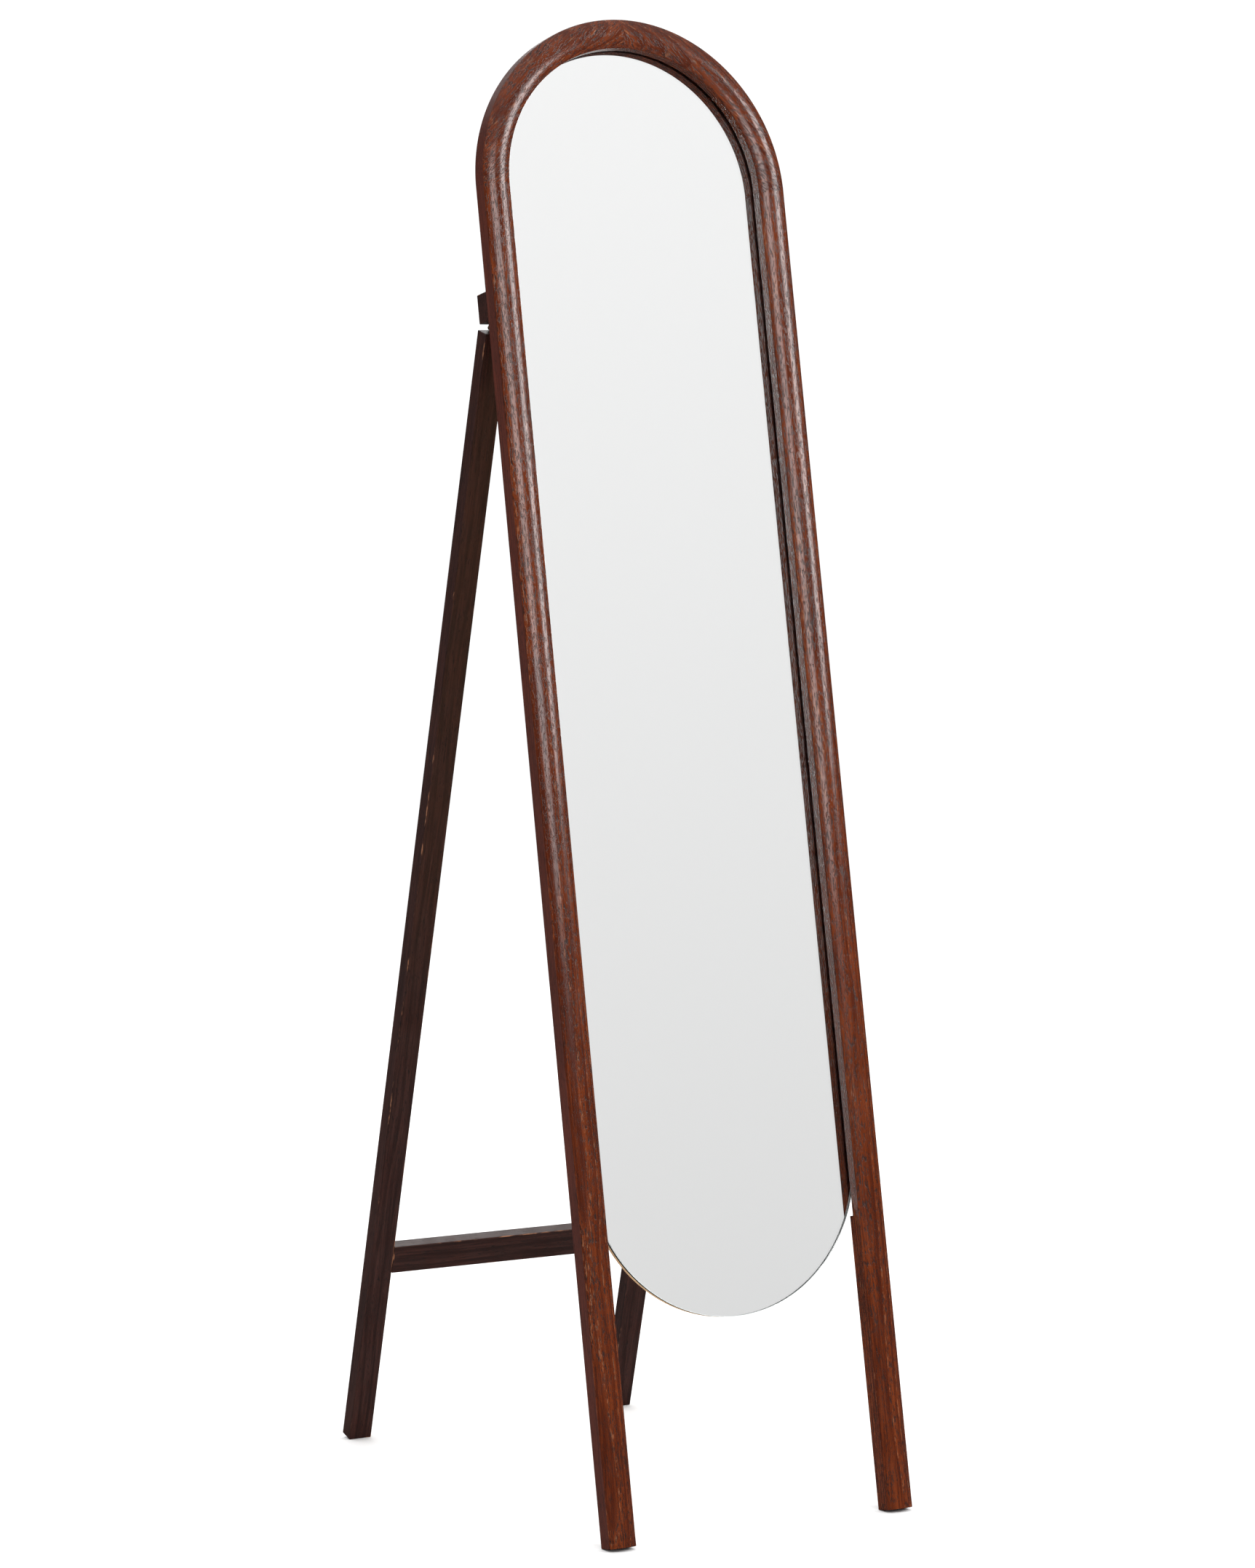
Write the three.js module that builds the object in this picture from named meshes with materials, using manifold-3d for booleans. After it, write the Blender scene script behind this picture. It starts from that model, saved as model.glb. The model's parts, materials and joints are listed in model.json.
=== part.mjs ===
// A tall floor mirror in an arched wooden frame. The frame leans back, and a two-legged rear stand,
// hinged to a batten on its back, holds it up like an easel and folds flat against it.
//
// Millimetres, +Z up, +X to the viewer's right, the mirror faces -Y. The origin is on the floor, in the
// middle of the footprint. The frame is drawn upright in its own group, with its back face at y = 0 and
// its feet at z = 0, and that group is then leant back. The stand is drawn folded, from its hinge pin.

import * as THREE from "three";
import { mergeVertices } from "three/addons/utils/BufferGeometryUtils.js";
import Module from "manifold-3d";

const { degToRad } = THREE.MathUtils;

// ---------------------------------------------------------------- driving dimensions

// How the mirror stands
const LEAN = degToRad(10.3); // the frame, back from upright
const SPLAY = degToRad(16.1); // the stand's legs, from upright

// Arched frame
const FRAME_WIDTH = 400; // over the outside of the rails
const FRAME_LENGTH = 1750; // foot to the top of the arch, along the rails
const RAIL_WIDTH = 34;
const SIDE_DEPTH = 20.3; // the flat sides of the section, from the back to the arris
const CROWN_RISE = 4.7; // how far the rounded face stands in front of the arris
const REBATE_WIDTH = 10.3;
const REBATE_DEPTH = 6.3;
const REBATE_SPACE = 17.5; // from where the glass enters the rebate down to the rebate's foot

// Glass and its board
const GLASS_THICKNESS = 4;
const BOARD_THICKNESS = 5;
const GLASS_FOOT = 240; // the lowest point of the glass, above the frame's foot

// Cross batten on the frame's back
const BATTEN_DROP = 121; // from the spring line down to its upper face
const BATTEN_HEIGHT = 34;
const BATTEN_DEPTH = 22;

// Rear stand
const STAND_INSET = 0; // from the rails' outside to the legs' outside
const LEG_WIDTH = 30;
const LEG_DEPTH = 20;
const FOLD_GAP = 6; // between the folded legs and the frame's back
const STRETCHER_FOOT = 225; // its lower edge, above the leg's foot
const STRETCHER_HEIGHT = 35;
const STRETCHER_DEPTH = 18;

// Butt hinges with a stop heel
const LEAF_INSET = 13; // from the legs' outside to the leaves, which clears the gap at the side
const LEAF_SIDE = 1; // from the legs' inside to the leaves
const LEAF_THICKNESS = 1.6;
const LEAF_MARGIN = 2; // from the leg's front face to the leaves' front edges
const KNUCKLE_RADIUS = 2.6;
const KNUCKLE_SPACE = 0.4; // round and beside a knuckle
const PIN_RADIUS = 1.2;
const PIN_PROUD = 2.2; // the pin's axis, behind the batten's back face
const PIN_OVERHANG = 1; // at each end
const HEEL_HEIGHT = 15; // the stop heel, above the pin

// Clips that hold the board in
const CLIPS_PER_RAIL = 3;
const CLIP_LOWEST = 140; // the first clip's centre, above the rebate's foot
const CLIP_HIGHEST = 85; // the last clip's centre, below the batten
const CLIP_ARCH_ANGLE = degToRad(48); // above the spring line, on each arch segment
const CLIP_WIDTH = 16;
const CLIP_THICKNESS = 1.2;
const CLIP_TONGUE = 9; // over the board
const CLIP_FOOT = 14; // on the frame
const CLIP_STEP_SPACE = 1; // from the rebate's edge to the step

// Dowels
const DOWEL_RADIUS = 4;
const DOWEL_LENGTH = 40;
const DOWEL_PITCH = 15; // across the frame's joints
const STRETCHER_DOWEL_PITCH = 18;

// Screws
const BATTEN_SCREW = { shank: 2, head: 4, headHeight: 2.4, length: 34, countersunk: true };
const LEAF_SCREW = { shank: 1.3, head: 2.6, headHeight: 1.4, countersunk: true };
const CLIP_SCREW = { shank: 1.5, head: 3, headHeight: 1.5, length: 13, countersunk: false };
const BATTEN_SCREW_PITCH = 12;
const LEAF_SCREW_SIDE = 4.5; // from the leaves' ends
const LEAF_SCREW_STAGGER = 2.8; // either way from the leaves' middle
const LEAF_SCREW_SPACE = 1; // from their points to the batten's screws
const SCREW_POINT = 3;

// Fits and facets
const FIT = 0.3; // between pieces that touch
const ROUND_SIDES = 12;
const CROWN_STEPS = 5; // half the flats across the rounded face
const ARCH_STEPS = 24; // flats in a quarter of the arch
const GLASS_STEPS = 24; // half the flats in a round end of the glass

// ---------------------------------------------------------------- sizes that follow

const RAIL_OUTSIDE = FRAME_WIDTH / 2;
const RAIL_INSIDE = RAIL_OUTSIDE - RAIL_WIDTH;
const RAIL_MIDDLE = RAIL_OUTSIDE - RAIL_WIDTH / 2;
const SPRING = FRAME_LENGTH - RAIL_OUTSIDE; // where the rails meet the arch
const REBATE_EDGE = RAIL_INSIDE + REBATE_WIDTH;

const BATTEN_FOOT = SPRING - BATTEN_DROP - BATTEN_HEIGHT;

const GLASS_HALF_WIDTH = REBATE_EDGE - FIT;
const GLASS_FRONT = FIT - REBATE_DEPTH;
const BOARD_FRONT = GLASS_FRONT + GLASS_THICKNESS + FIT;
const BOARD_BACK = BOARD_FRONT + BOARD_THICKNESS;

// The height at which the glass is as wide as the frame's opening
const GLASS_ENTRY = GLASS_FOOT + GLASS_HALF_WIDTH - Math.sqrt(GLASS_HALF_WIDTH ** 2 - RAIL_INSIDE ** 2);
const REBATE_FOOT = GLASS_ENTRY - REBATE_SPACE; // above the rails' feet
const CLIP_START = REBATE_FOOT + CLIP_LOWEST;
const CLIP_PITCH = (BATTEN_FOOT - CLIP_HIGHEST - CLIP_START) / (CLIPS_PER_RAIL - 1);
const CLIP_HEIGHTS = Array.from({ length: CLIPS_PER_RAIL }, (_, i) => CLIP_START + i * CLIP_PITCH);

const HINGE_GAP = 2 * (KNUCKLE_RADIUS + KNUCKLE_SPACE); // between the batten and the folded leg's end
const PIN_Y = BATTEN_DEPTH + PIN_PROUD;
const PIN_Z = BATTEN_FOOT - HINGE_GAP / 2;
const OPENING = LEAN + SPLAY;
const LEG_OUTSIDE = RAIL_OUTSIDE - STAND_INSET;
const LEG_INSIDE = LEG_OUTSIDE - LEG_WIDTH;
const LEAF_SPAN = [LEG_INSIDE + LEAF_SIDE, LEG_OUTSIDE - LEAF_INSET];
const LEAF_WIDTH = LEAF_SPAN[1] - LEAF_SPAN[0];
const HINGE_X = LEAF_SPAN[0] + LEAF_WIDTH / 2;
const KNUCKLE_LENGTH = (LEAF_WIDTH - 2 * KNUCKLE_SPACE) / 3;
const LEAF_SCREW_Y = -(PIN_Y - FOLD_GAP) / 2; // from the pin, on both leaves

const BATTEN_MIDDLE = BATTEN_FOOT + BATTEN_HEIGHT / 2;
const BATTEN_SCREW_HEIGHTS = [-1, 1].map((step) => BATTEN_MIDDLE + (step * BATTEN_SCREW_PITCH) / 2);
const LEAF_SCREW_HEAD = PIN_Z + KNUCKLE_RADIUS - LEAF_THICKNESS; // of the screws up into the batten
const LEAF_SCREW_POINT = BATTEN_SCREW_HEIGHTS[0] - BATTEN_SCREW.shank - LEAF_SCREW_SPACE;
const LEAF_SCREW_LENGTH = LEAF_SCREW_POINT - LEAF_SCREW_HEAD;

// In the stand's own frame, with the pin at the origin
const LEG_FRONT = FOLD_GAP - PIN_Y;
const LEG_TOP = -HINGE_GAP / 2;
// The foot's front edge meets the floor, so the pin's height above the floor sets the foot's place.
const PIN_HEIGHT = PIN_Z * Math.cos(LEAN) - PIN_Y * Math.sin(LEAN);
const LEG_FOOT = -(PIN_HEIGHT + LEG_FRONT * Math.sin(SPLAY)) / Math.cos(SPLAY);

// ---------------------------------------------------------------- materials

function finish(name, color, roughness, metalness) {
  return new THREE.MeshStandardMaterial({ name, color, roughness, metalness });
}

const FRAME_WOOD = finish("frame_wood", 0x6b3320, 0.35, 0);
const STAND_WOOD = finish("stand_wood", 0x3d2824, 0.45, 0);
const MIRROR = finish("mirror", 0xe4e6e6, 0.03, 1);
const BOARD = finish("board", 0xc9a06e, 0.85, 0);
const DOWEL_WOOD = finish("dowel_wood", 0xd9b98c, 0.8, 0);
const HINGE_METAL = finish("hinge_metal", 0x8c7a55, 0.35, 1);
const STEEL = finish("steel", 0x9a9c9e, 0.4, 1);

// ---------------------------------------------------------------- solids

const wasm = await Module();
wasm.setup();

// A closed three.js geometry as a solid that can be cut and joined.
function solidOf(geometry) {
  const bare = geometry.index ? geometry.toNonIndexed() : geometry.clone();
  bare.deleteAttribute("normal");
  bare.deleteAttribute("uv");
  const merged = mergeVertices(bare, 1e-4);
  const vertProperties = merged.attributes.position.array;
  const triVerts = new Uint32Array(merged.index.array);
  return new wasm.Manifold(new wasm.Mesh({ numProp: 3, vertProperties, triVerts }));
}

function geometryOf(solid) {
  const { vertProperties, triVerts } = solid.getMesh();
  const geometry = new THREE.BufferGeometry();
  geometry.setAttribute("position", new THREE.BufferAttribute(vertProperties, 3));
  geometry.setIndex(new THREE.BufferAttribute(triVerts, 1));
  geometry.computeVertexNormals();
  return geometry;
}

function cut(base, ...tools) {
  const start = solidOf(base);
  return geometryOf(tools.reduce((solid, tool) => solid.subtract(solidOf(tool)), start));
}

function join(base, ...others) {
  const start = solidOf(base);
  return geometryOf(others.reduce((solid, other) => solid.add(solidOf(other)), start));
}

function keep(base, tool) {
  return geometryOf(solidOf(base).intersect(solidOf(tool)));
}

// The same shape on the other side of x = 0, still facing out.
function mirrored(geometry) {
  const flipped = geometry.toNonIndexed().scale(-1, 1, 1);
  const corners = flipped.attributes.position.array;
  for (let i = 0; i < corners.length; i += 9) {
    const second = corners.slice(i + 3, i + 6);
    corners.copyWithin(i + 3, i + 6, i + 9);
    corners.set(second, i + 6);
  }
  return flipped;
}

// ---------------------------------------------------------------- basic shapes

function block([x0, x1], [y0, y1], [z0, z1]) {
  const geometry = new THREE.BoxGeometry(x1 - x0, y1 - y0, z1 - z0);
  return geometry.translate((x0 + x1) / 2, (y0 + y1) / 2, (z0 + z1) / 2);
}

// A cylinder from one point to another along X or Z, so that a dowel and its hole have the same flats.
function rod(radius, from, to) {
  const start = new THREE.Vector3(...from);
  const end = new THREE.Vector3(...to);
  const along = end.clone().sub(start);
  const geometry = new THREE.CylinderGeometry(radius, radius, along.length(), ROUND_SIDES);
  const up = new THREE.Vector3(0, 1, 0);
  geometry.applyQuaternion(new THREE.Quaternion().setFromUnitVectors(up, along.normalize()));
  const middle = start.add(end).multiplyScalar(0.5);
  return geometry.translate(middle.x, middle.y, middle.z);
}

// A flat sheet with the given outline in X and Z, from y = front to y = back.
function sheet(outline, front, back) {
  const depth = back - front;
  const options = { depth, bevelEnabled: false, curveSegments: GLASS_STEPS };
  const geometry = new THREE.ExtrudeGeometry(outline, options);
  return geometry.rotateX(Math.PI / 2).translate(0, back, 0);
}

// A screw along -Y. A countersunk one has its head's top at y = 0, a pan head its underside.
function screw({ shank, head, headHeight, length, countersunk }, space = 0) {
  const top = space > 0 ? length : 0; // a pocket runs out past the surface
  const profile = [
    [0, -length - space],
    [shank + space, SCREW_POINT - length - space],
  ];
  if (countersunk) {
    profile.push([shank + space, -headHeight], [head + space, 0], [head + space, top], [0, top]);
  } else {
    profile.push([shank + space, 0], [head + space, 0], [head + space, headHeight / 2]);
    profile.push([head / 2 + space, headHeight], [0, headHeight + top]);
  }
  const points = profile.map(([x, y]) => new THREE.Vector2(x, y));
  const distinct = points.filter((point, i) => i === 0 || !point.equals(points[i - 1]));
  return new THREE.LatheGeometry(distinct, ROUND_SIDES);
}

// ---------------------------------------------------------------- arched frame

// The right-hand section in X and Y: flat sides, a rounded face, and a back with the given corners.
function section(...backCorners) {
  const half = RAIL_WIDTH / 2;
  const radius = (half * half + CROWN_RISE * CROWN_RISE) / (2 * CROWN_RISE);
  const centre = radius - SIDE_DEPTH - CROWN_RISE;
  const drop = -SIDE_DEPTH - centre;
  const outline = new THREE.Shape();
  outline.moveTo(RAIL_OUTSIDE, 0);
  outline.lineTo(RAIL_OUTSIDE, -SIDE_DEPTH);
  outline.absarc(RAIL_MIDDLE, centre, radius, Math.atan2(drop, half), Math.atan2(drop, -half), true);
  backCorners.forEach(([x, y]) => outline.lineTo(x, y));
  return outline;
}

// The two dowel places across a joint of the frame, as distances from the frame's middle line.
const DOWEL_PLACES = { outer: RAIL_MIDDLE + DOWEL_PITCH / 2, inner: RAIL_MIDDLE - DOWEL_PITCH / 2 };
const DOWEL_Y = -(SIDE_DEPTH + REBATE_DEPTH) / 2;

function railDowel(place, space = 0) {
  const reach = DOWEL_LENGTH / 2 + space;
  return rod(DOWEL_RADIUS + space, [place, DOWEL_Y, SPRING - reach], [place, DOWEL_Y, SPRING + reach]);
}

function crownDowel(place, space = 0) {
  const reach = DOWEL_LENGTH / 2 + space;
  const z = SPRING + place;
  return rod(DOWEL_RADIUS + space, [-reach, DOWEL_Y, z], [reach, DOWEL_Y, z]);
}

function rail() {
  const top = SPRING - FIT / 2;
  const options = { depth: top, bevelEnabled: false, curveSegments: CROWN_STEPS };
  const bar = new THREE.ExtrudeGeometry(section([RAIL_INSIDE, 0]), options);
  const rebate = block([0, REBATE_EDGE], [-REBATE_DEPTH, 1], [REBATE_FOOT, top + 1]);
  const dowels = Object.values(DOWEL_PLACES).map((place) => railDowel(place, FIT));
  const clips = CLIP_HEIGHTS.map((height) => clipScrew(FIT).translate(0, 0, height));
  const battenScrews = BATTEN_SCREW_HEIGHTS.map((height) => battenScrew(height, FIT));
  return cut(bar, rebate, ...dowels, ...clips, ...battenScrews);
}

// A quarter of the arch: the rebated section turned about the arch's centre.
function archSegment() {
  const rebate = [[RAIL_INSIDE, -REBATE_DEPTH], [REBATE_EDGE, -REBATE_DEPTH], [REBATE_EDGE, 0]];
  const profile = section(...rebate).closePath().getPoints(CROWN_STEPS).reverse();
  const ring = new THREE.LatheGeometry(profile, 4 * ARCH_STEPS);
  const reach = 2 * RAIL_OUTSIDE;
  const quarter = block([FIT / 2, reach], [-reach, reach], [FIT / 2, reach]);
  const segment = keep(ring, quarter).translate(0, 0, SPRING);
  const places = Object.values(DOWEL_PLACES);
  const dowels = places.flatMap((place) => [railDowel(place, FIT), crownDowel(place, FIT)]);
  return cut(segment, ...dowels, ontoArch(clipScrew(FIT)));
}

// ---------------------------------------------------------------- glass, board and clips

function glassOutline() {
  const low = GLASS_FOOT + GLASS_HALF_WIDTH;
  const outline = new THREE.Shape();
  outline.moveTo(GLASS_HALF_WIDTH, low);
  outline.lineTo(GLASS_HALF_WIDTH, SPRING);
  outline.absarc(0, SPRING, GLASS_HALF_WIDTH, 0, Math.PI, false);
  outline.lineTo(-GLASS_HALF_WIDTH, low);
  outline.absarc(0, low, GLASS_HALF_WIDTH, Math.PI, 2 * Math.PI, false);
  return outline;
}

const CLIP_STEP = REBATE_EDGE + CLIP_STEP_SPACE;
const CLIP_SCREW_X = CLIP_STEP + (CLIP_THICKNESS + CLIP_FOOT) / 2;

// A stepped clip on the right-hand rail, centred on z = 0: its foot on the rail, its tongue on the board.
function clip() {
  const tip = GLASS_HALF_WIDTH - CLIP_TONGUE;
  const end = CLIP_STEP + CLIP_FOOT;
  const foot = FIT;
  const tongue = BOARD_BACK + FIT;
  const corners = [
    [tip, tongue],
    [CLIP_STEP, tongue],
    [CLIP_STEP, foot],
    [end, foot],
    [end, foot + CLIP_THICKNESS],
    [CLIP_STEP + CLIP_THICKNESS, foot + CLIP_THICKNESS],
    [CLIP_STEP + CLIP_THICKNESS, tongue + CLIP_THICKNESS],
    [tip, tongue + CLIP_THICKNESS],
  ];
  const outline = new THREE.Shape(corners.map(([x, y]) => new THREE.Vector2(x, y)));
  const strip = new THREE.ExtrudeGeometry(outline, { depth: CLIP_WIDTH, bevelEnabled: false });
  return cut(strip.translate(0, 0, -CLIP_WIDTH / 2), clipScrew(FIT));
}

function clipScrew(space = 0) {
  return screw(CLIP_SCREW, space).translate(CLIP_SCREW_X, FIT + CLIP_THICKNESS + FIT, 0);
}

// Turns a piece drawn beside z = 0 round the arch's centre, to its place on the right-hand segment.
function ontoArch(geometry) {
  return geometry.rotateY(-CLIP_ARCH_ANGLE).translate(0, 0, SPRING);
}

// ---------------------------------------------------------------- batten

function battenScrew(height, space = 0) {
  return screw(BATTEN_SCREW, space).translate(RAIL_MIDDLE, BATTEN_DEPTH, height);
}

// A plain bar with a shallow relief in its front face that clears the board.
function batten() {
  const heights = [BATTEN_FOOT, BATTEN_FOOT + BATTEN_HEIGHT];
  const bar = block([-RAIL_OUTSIDE, RAIL_OUTSIDE], [FIT, BATTEN_DEPTH], heights);
  const half = REBATE_EDGE + FIT;
  const relief = block([-half, half], [-1, BOARD_BACK + FIT], [0, FRAME_LENGTH]);
  const screws = BATTEN_SCREW_HEIGHTS.map((height) => battenScrew(height, FIT));
  const leafScrews = LEAF_SCREW_PLACES.map((place) => fixedLeafScrew(place, FIT));
  const holes = [...screws, ...leafScrews];
  return cut(bar, relief, ...holes, ...holes.map(mirrored));
}

// ---------------------------------------------------------------- hinges, on the right-hand side

// In X, and in Y from the pin
const LEAF_SCREW_PLACES = [
  [LEAF_SPAN[0] + LEAF_SCREW_SIDE, LEAF_SCREW_Y - LEAF_SCREW_STAGGER],
  [LEAF_SPAN[1] - LEAF_SCREW_SIDE, LEAF_SCREW_Y + LEAF_SCREW_STAGGER],
];
const KNUCKLE_CLEAR = KNUCKLE_RADIUS + KNUCKLE_SPACE;

// The stretch of the pin that a knuckle takes: -1 and 1 are the fixed leaf's, 0 is the stand leaf's.
function knuckleSpan(place) {
  const middle = HINGE_X + place * (KNUCKLE_LENGTH + KNUCKLE_SPACE);
  return [middle - KNUCKLE_LENGTH / 2, middle + KNUCKLE_LENGTH / 2];
}

// A knuckle and the strip of leaf that reaches it, with the pin's axis at y = z = 0.
function knuckle(place, leafHeights) {
  const [x0, x1] = knuckleSpan(place);
  const strip = block([x0, x1], [-KNUCKLE_CLEAR - 1, 0], leafHeights);
  return join(rod(KNUCKLE_RADIUS, [x0, 0, 0], [x1, 0, 0]), strip);
}

function pinHole() {
  return rod(PIN_RADIUS + FIT, [LEAF_SPAN[0] - 1, 0, 0], [LEAF_SPAN[1] + 1, 0, 0]);
}

// Drawn from the pin, like the stand: the leaf lies under the batten, with a knuckle at each end.
function fixedLeaf() {
  const heights = [KNUCKLE_RADIUS - LEAF_THICKNESS, KNUCKLE_RADIUS];
  const plate = block(LEAF_SPAN, [LEG_FRONT + LEAF_MARGIN, -KNUCKLE_CLEAR], heights);
  const leaf = join(plate, knuckle(-1, heights), knuckle(1, heights));
  const screws = LEAF_SCREW_PLACES.map((place) => fixedLeafScrew(place, FIT));
  return cut(leaf, pinHole(), ...screws.map((hole) => hole.translate(0, -PIN_Y, -PIN_Z)));
}

// A leaf's screw along Z, its head at z = 0.
function leafScrew(turn, space) {
  return screw({ ...LEAF_SCREW, length: LEAF_SCREW_LENGTH }, space).rotateX(turn);
}

// In the frame's group: up into the batten, its head flush with the leaf.
function fixedLeafScrew([x, y], space = 0) {
  return leafScrew(-Math.PI / 2, space).translate(x, PIN_Y + y, LEAF_SCREW_HEAD);
}

// The stand leaf lies on the leg's end. Its heel turns with it and bears on the batten's back.
function standLeaf() {
  const heights = [-KNUCKLE_RADIUS, LEAF_THICKNESS - KNUCKLE_RADIUS];
  const plate = block(LEAF_SPAN, [LEG_FRONT + LEAF_MARGIN, -KNUCKLE_CLEAR], heights);
  const heelFront = BATTEN_DEPTH + FIT - PIN_Y;
  const heel = block(knuckleSpan(0), [heelFront, heelFront + LEAF_THICKNESS], [0, HEEL_HEIGHT]);
  const leaf = join(plate, knuckle(0, heights), heel.rotateX(-OPENING));
  return cut(leaf, pinHole(), ...LEAF_SCREW_PLACES.map((place) => standLeafScrew(place, FIT)));
}

function standLeafScrew([x, y], space = 0) {
  return leafScrew(Math.PI / 2, space).translate(x, y, LEAF_THICKNESS - KNUCKLE_RADIUS);
}

function hingePin() {
  const [x0, x1] = LEAF_SPAN;
  return rod(PIN_RADIUS, [x0 - PIN_OVERHANG, 0, 0], [x1 + PIN_OVERHANG, 0, 0]);
}

// ---------------------------------------------------------------- rear stand, drawn folded from the pin

const STRETCHER_LOW = LEG_FOOT + STRETCHER_FOOT;
const STRETCHER_MIDDLE = STRETCHER_LOW + STRETCHER_HEIGHT / 2;
const STRETCHER_DOWEL_HEIGHTS = [-1, 1].map(
  (step) => STRETCHER_MIDDLE + (step * STRETCHER_DOWEL_PITCH) / 2,
);

function stretcherDowel(height, space = 0) {
  const reach = DOWEL_LENGTH / 2 + space;
  const y = LEG_FRONT + STRETCHER_DEPTH / 2;
  return rod(DOWEL_RADIUS + space, [LEG_INSIDE - reach, y, height], [LEG_INSIDE + reach, y, height]);
}

function leg() {
  const heights = [LEG_FOOT, LEG_TOP];
  const bar = block([LEG_INSIDE, LEG_OUTSIDE], [LEG_FRONT, LEG_FRONT + LEG_DEPTH], heights);
  const dowels = STRETCHER_DOWEL_HEIGHTS.map((height) => stretcherDowel(height, FIT));
  return cut(bar, ...dowels, ...LEAF_SCREW_PLACES.map((place) => standLeafScrew(place, FIT)));
}

function stretcher() {
  const half = LEG_INSIDE - FIT;
  const heights = [STRETCHER_LOW, STRETCHER_LOW + STRETCHER_HEIGHT];
  const bar = block([-half, half], [LEG_FRONT, LEG_FRONT + STRETCHER_DEPTH], heights);
  const dowels = STRETCHER_DOWEL_HEIGHTS.map((height) => stretcherDowel(height, FIT));
  return cut(bar, ...dowels, ...dowels.map(mirrored));
}

// ---------------------------------------------------------------- assembly

const object = new THREE.Group();
const frame = new THREE.Group();
const hinge = new THREE.Group();
const stand = new THREE.Group();
frame.rotation.x = -LEAN;
hinge.position.set(0, PIN_Y, PIN_Z);
stand.rotation.x = OPENING;
object.add(frame);
frame.add(hinge);
hinge.add(stand);

function add(group, name, geometry, material) {
  const mesh = new THREE.Mesh(geometry, material);
  mesh.name = name;
  group.add(mesh);
  return mesh;
}

// The same piece on both sides of the object, drawn on the right.
function addPair(group, name, geometry, material) {
  add(group, name + "_right", geometry, material);
  add(group, name + "_left", geometry, material).scale.x = -1;
}

addPair(frame, "rail", rail(), FRAME_WOOD);
addPair(frame, "arch_segment", archSegment(), FRAME_WOOD);
for (const [side, place] of Object.entries(DOWEL_PLACES)) {
  addPair(frame, "rail_dowel_" + side, railDowel(place), DOWEL_WOOD);
  add(frame, "crown_dowel_" + side, crownDowel(place), DOWEL_WOOD);
}

add(frame, "mirror_glass", sheet(glassOutline(), GLASS_FRONT, GLASS_FRONT + GLASS_THICKNESS), MIRROR);
add(frame, "backing_board", sheet(glassOutline(), BOARD_FRONT, BOARD_BACK), BOARD);
CLIP_HEIGHTS.forEach((height, i) => {
  addPair(frame, "clip_" + (i + 1), clip().translate(0, 0, height), STEEL);
  addPair(frame, "clip_screw_" + (i + 1), clipScrew().translate(0, 0, height), STEEL);
});
addPair(frame, "arch_clip", ontoArch(clip()), STEEL);
addPair(frame, "arch_clip_screw", ontoArch(clipScrew()), STEEL);

add(frame, "hinge_batten", batten(), STAND_WOOD);
BATTEN_SCREW_HEIGHTS.forEach((height, i) => {
  addPair(frame, "batten_screw_" + (i + 1), battenScrew(height), STEEL);
});
addPair(hinge, "hinge_fixed_leaf", fixedLeaf(), HINGE_METAL);
addPair(hinge, "hinge_pin", hingePin(), HINGE_METAL);
addPair(stand, "hinge_stand_leaf", standLeaf(), HINGE_METAL);
LEAF_SCREW_PLACES.forEach((place, i) => {
  addPair(frame, "fixed_leaf_screw_" + (i + 1), fixedLeafScrew(place), HINGE_METAL);
  addPair(stand, "stand_leaf_screw_" + (i + 1), standLeafScrew(place), HINGE_METAL);
});

addPair(stand, "stand_leg", leg(), STAND_WOOD);
add(stand, "stand_stretcher", stretcher(), STAND_WOOD);
STRETCHER_DOWEL_HEIGHTS.forEach((height, i) => {
  addPair(stand, "stretcher_dowel_" + (i + 1), stretcherDowel(height), DOWEL_WOOD);
});

// The origin goes to the middle of the footprint.
const extent = new THREE.Box3().setFromObject(object, true);
object.position.y = -(extent.min.y + extent.max.y) / 2;

const floorMirror = new THREE.Group();
floorMirror.add(object);

export default floorMirror;
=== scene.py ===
"""A leaning arched floor mirror with a folding rear stand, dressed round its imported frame.

Lengths are in metres, angles in radians. Each wooden, glass, board or metal piece is drawn on the
bench of its sub-assembly: x across the mirror, y towards its back, z up along its rails or legs, from
the edge of the foot that meets the floor. It is then moved to its place in the object's frame.
"""

import json
import logging
import math
from collections.abc import Iterable, Sequence
from dataclasses import dataclass, field
from enum import Enum
from typing import Any

import bmesh
import bpy
from bmesh.types import BMEdge, BMesh, BMFace, BMVert
from mathutils import Matrix, Vector


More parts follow.
